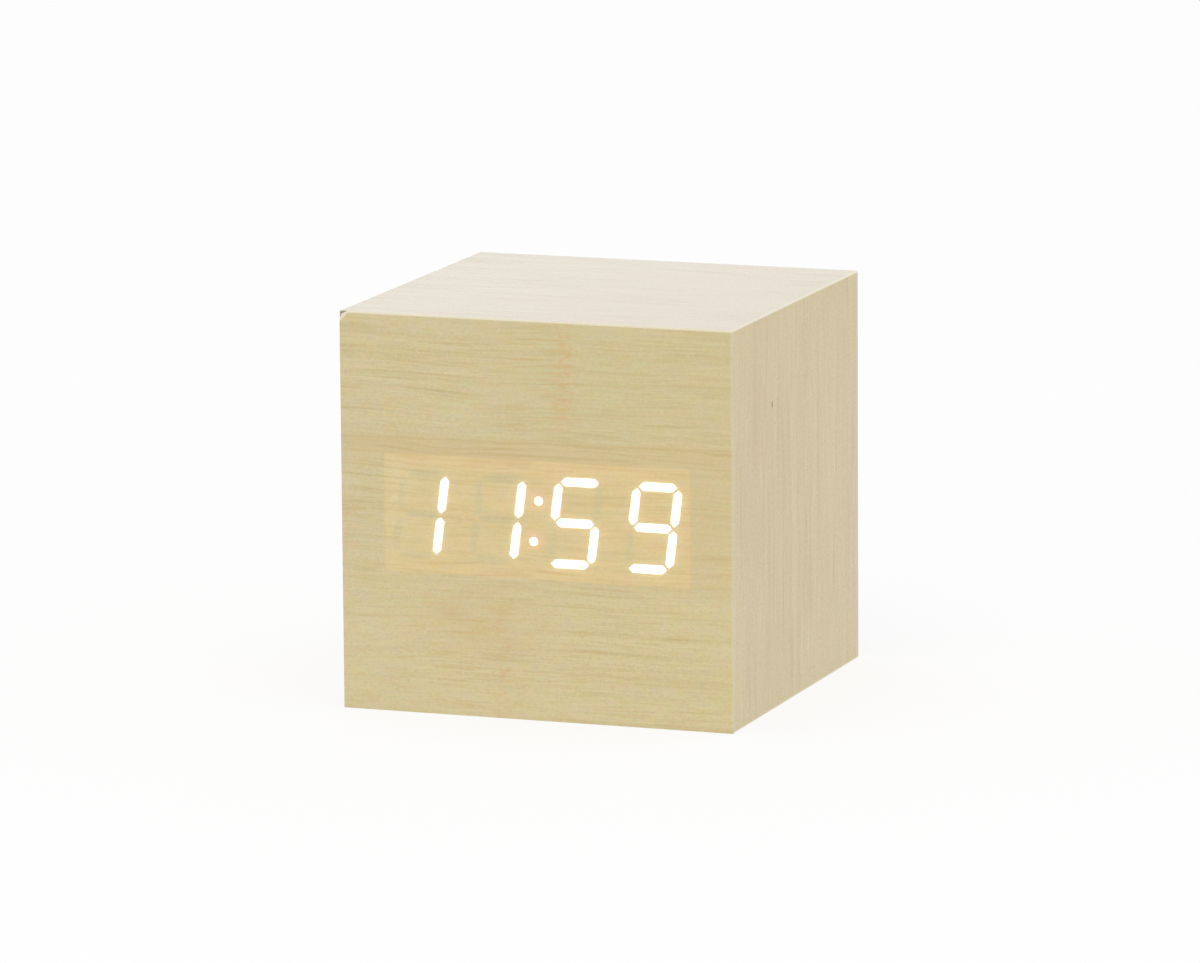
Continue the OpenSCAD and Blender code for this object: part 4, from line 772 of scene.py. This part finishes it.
def make_front_sheet():
    """Front film: eased all round the front, with the small chip at its top left corner."""
    sheet = start_block(
        "front_sheet", (-SIDE_X, FRONT_Y, 0), (SIDE_X, FRONT_Y + FILM_T, CASE_H))
    bpy.ops.object.mode_set(mode="EDIT")
    ease(sheet, lambda p: all(v.x < 0 and v.z > MIDDLE_Z for v in p), CHIP, CHIP_STEPS)
    ease(sheet, lambda p: all(v.y < FRONT_Y + TINY for v in p), FRONT_EASE, FRONT_EASE_STEPS)
    bpy.ops.object.mode_set(mode="OBJECT")
    bpy.ops.object.shade_smooth_by_angle(angle=SHEET_SMOOTH)
    finish_piece(sheet, front_film_finish(), "case", ["front_film"])


def make_wrap_sheet():
    """One film round the four sides, folded over softly rounded corners."""
    sheet = start_block(
        "wrap_sheet", (-SIDE_X, FRONT_Y + FILM_ROOM, 0), (SIDE_X, REAR_Y, CASE_H))
    bpy.ops.object.mode_set(mode="EDIT")
    pick(sheet, "faces", lambda p: depth(p) < TINY)
    bpy.ops.mesh.delete(type="ONLY_FACE")
    ease(sheet, lambda p: depth(p) > TINY, FOLD_R, FOLD_STEPS)
    bpy.ops.object.mode_set(mode="OBJECT")
    wall = sheet.modifiers.new("thickness", "SOLIDIFY")
    wall.thickness = FILM_T * MM
    wall.offset = -1
    wall.use_even_offset = True
    bpy.ops.object.modifier_apply(modifier=wall.name)
    bpy.ops.object.shade_smooth_by_angle(angle=SHEET_SMOOTH)
    finish_piece(sheet, wrap_film_finish(), "case", ["side_films"])


def finish_mark(mark, face, round_mm, steps):
    """Rounds a mark's corners and eases its outer edge."""
    bpy.ops.object.mode_set(mode="EDIT")
    ease(mark, lambda p: depth(p) > TINY, round_mm, steps)
    ease(mark, lambda p: all(v.y > face + MARK_H / 2 for v in p), MARK_EASE, MARK_EASE_STEPS)
    bpy.ops.object.mode_set(mode="OBJECT")
    bpy.ops.object.shade_smooth_by_angle(angle=MARK_SMOOTH)
    finish_piece(mark, nodes["rear_cover"].data.materials[0], "case")


def make_key_marks():
    """Raised marks above the keys: a round-ended bar for set, a triangle each for up and down."""
    face = COVER_Y - MARK_SINK
    for name, x, turn in (("up_mark", UP_X, 0), ("down_mark", DOWN_X, 180)):
        bpy.ops.object.select_all(action="DESELECT")
        bpy.ops.mesh.primitive_cylinder_add(
            vertices=3, radius=MARK_R * MM, depth=MARK_H * MM,
            location=(x * MM, (face + MARK_H / 2) * MM, MARK_Z * MM),
            rotation=(math.radians(90), math.radians(turn), 0))
        mark = bpy.context.object
        mark.name = mark.data.name = name
        bpy.ops.object.transform_apply(location=True, rotation=True, scale=True)
        finish_mark(mark, face, TRIANGLE_ROUND, TRIANGLE_STEPS)
    mark = start_block(
        "set_mark", (SET_X - MARK_R, face, MARK_Z - BAR_MARK_HALF_H),
        (SET_X + MARK_R, face + MARK_H, MARK_Z + BAR_MARK_HALF_H))
    finish_mark(mark, face, BAR_MARK_ROUND, BAR_MARK_STEPS)


# Stage and light

FLOOR_SIZE, FLOOR_DROP = 6, 0.00002
FLOOR_PAINT = (0.95, 0.95, 0.95, 1)
FLOOR_LIT, FLOOR_SEEN, FLOOR_GLOW_SHARE = 0.87, 1.04, 0.75
ROOM_GLOW, ROOM_SEEN = 0.84, 1.22
LAMP_AT, LAMP_W, LAMP_H, LAMP_POWER = Vector((0.4, -1.05, 0.6)), 1.6, 1.2, 2.0


def make_floor():
    """Pale floor that reads as white and keeps a faint shadow of the clock."""
    bpy.ops.object.select_all(action="DESELECT")
    bpy.ops.mesh.primitive_plane_add(size=FLOOR_SIZE, location=(0, 0, -FLOOR_DROP))
    floor = bpy.context.object
    floor.name = "floor"
    paint = bpy.data.materials.new("floor_white")
    paint.use_nodes = True
    tree = paint.node_tree
    tree.nodes.clear()
    out = tree.nodes.new("ShaderNodeOutputMaterial")
    matt = tree.nodes.new("ShaderNodeBsdfDiffuse")
    matt.inputs["Color"].default_value = FLOOR_PAINT
    white = tree.nodes.new("ShaderNodeEmission")
    path = tree.nodes.new("ShaderNodeLightPath")
    strength = tree.nodes.new("ShaderNodeMapRange")
    strength.inputs["To Min"].default_value = FLOOR_LIT
    strength.inputs["To Max"].default_value = FLOOR_SEEN
    both = tree.nodes.new("ShaderNodeMixShader")
    both.inputs["Fac"].default_value = FLOOR_GLOW_SHARE
    tree.links.new(path.outputs["Is Camera Ray"], strength.inputs["Value"])
    tree.links.new(strength.outputs[0], white.inputs["Strength"])
    tree.links.new(matt.outputs[0], both.inputs[1])
    tree.links.new(white.outputs[0], both.inputs[2])
    tree.links.new(both.outputs[0], out.inputs["Surface"])
    floor.data.materials.append(paint)


def light_studio():
    """A white room: an even glow from all round and one broad soft lamp above the front."""
    world = bpy.data.worlds.new("white_room")
    bpy.context.scene.world = world
    world.use_nodes = True
    tree = world.node_tree
    tree.nodes.clear()
    out = tree.nodes.new("ShaderNodeOutputWorld")
    path = tree.nodes.new("ShaderNodeLightPath")
    both = tree.nodes.new("ShaderNodeMixShader")
    for socket, strength in ((1, ROOM_GLOW), (2, ROOM_SEEN)):
        white = tree.nodes.new("ShaderNodeBackground")
        white.inputs["Color"].default_value = (1, 1, 1, 1)
        white.inputs["Strength"].default_value = strength
        tree.links.new(white.outputs[0], both.inputs[socket])
    seen = path.outputs["Is Camera Ray"]
    for ray in ("Is Glossy Ray", "Is Transmission Ray"):
        either = tree.nodes.new("ShaderNodeMath")
        either.operation = "MAXIMUM"
        tree.links.new(seen, either.inputs[0])
        tree.links.new(path.outputs[ray], either.inputs[1])
        seen = either.outputs[0]
    tree.links.new(seen, both.inputs["Fac"])
    tree.links.new(both.outputs[0], out.inputs["Surface"])
    lamp = bpy.data.lights.new("soft_lamp", "AREA")
    lamp.shape = "RECTANGLE"
    lamp.size = LAMP_W
    lamp.size_y = LAMP_H
    lamp.energy = LAMP_POWER
    holder = bpy.data.objects.new("soft_lamp", lamp)
    bpy.context.scene.collection.objects.link(holder)
    holder.location = LAMP_AT
    holder.visible_glossy = False
    aim = Vector((0, 0, MIDDLE_Z * MM)) - LAMP_AT
    holder.rotation_euler = aim.to_track_quat("-Z", "Y").to_euler()


set_camera()
make_floor()
light_studio()
dress_nodes()
make_front_sheet()
make_wrap_sheet()
make_key_marks()

bpy.context.scene.view_settings.view_transform = "Standard"
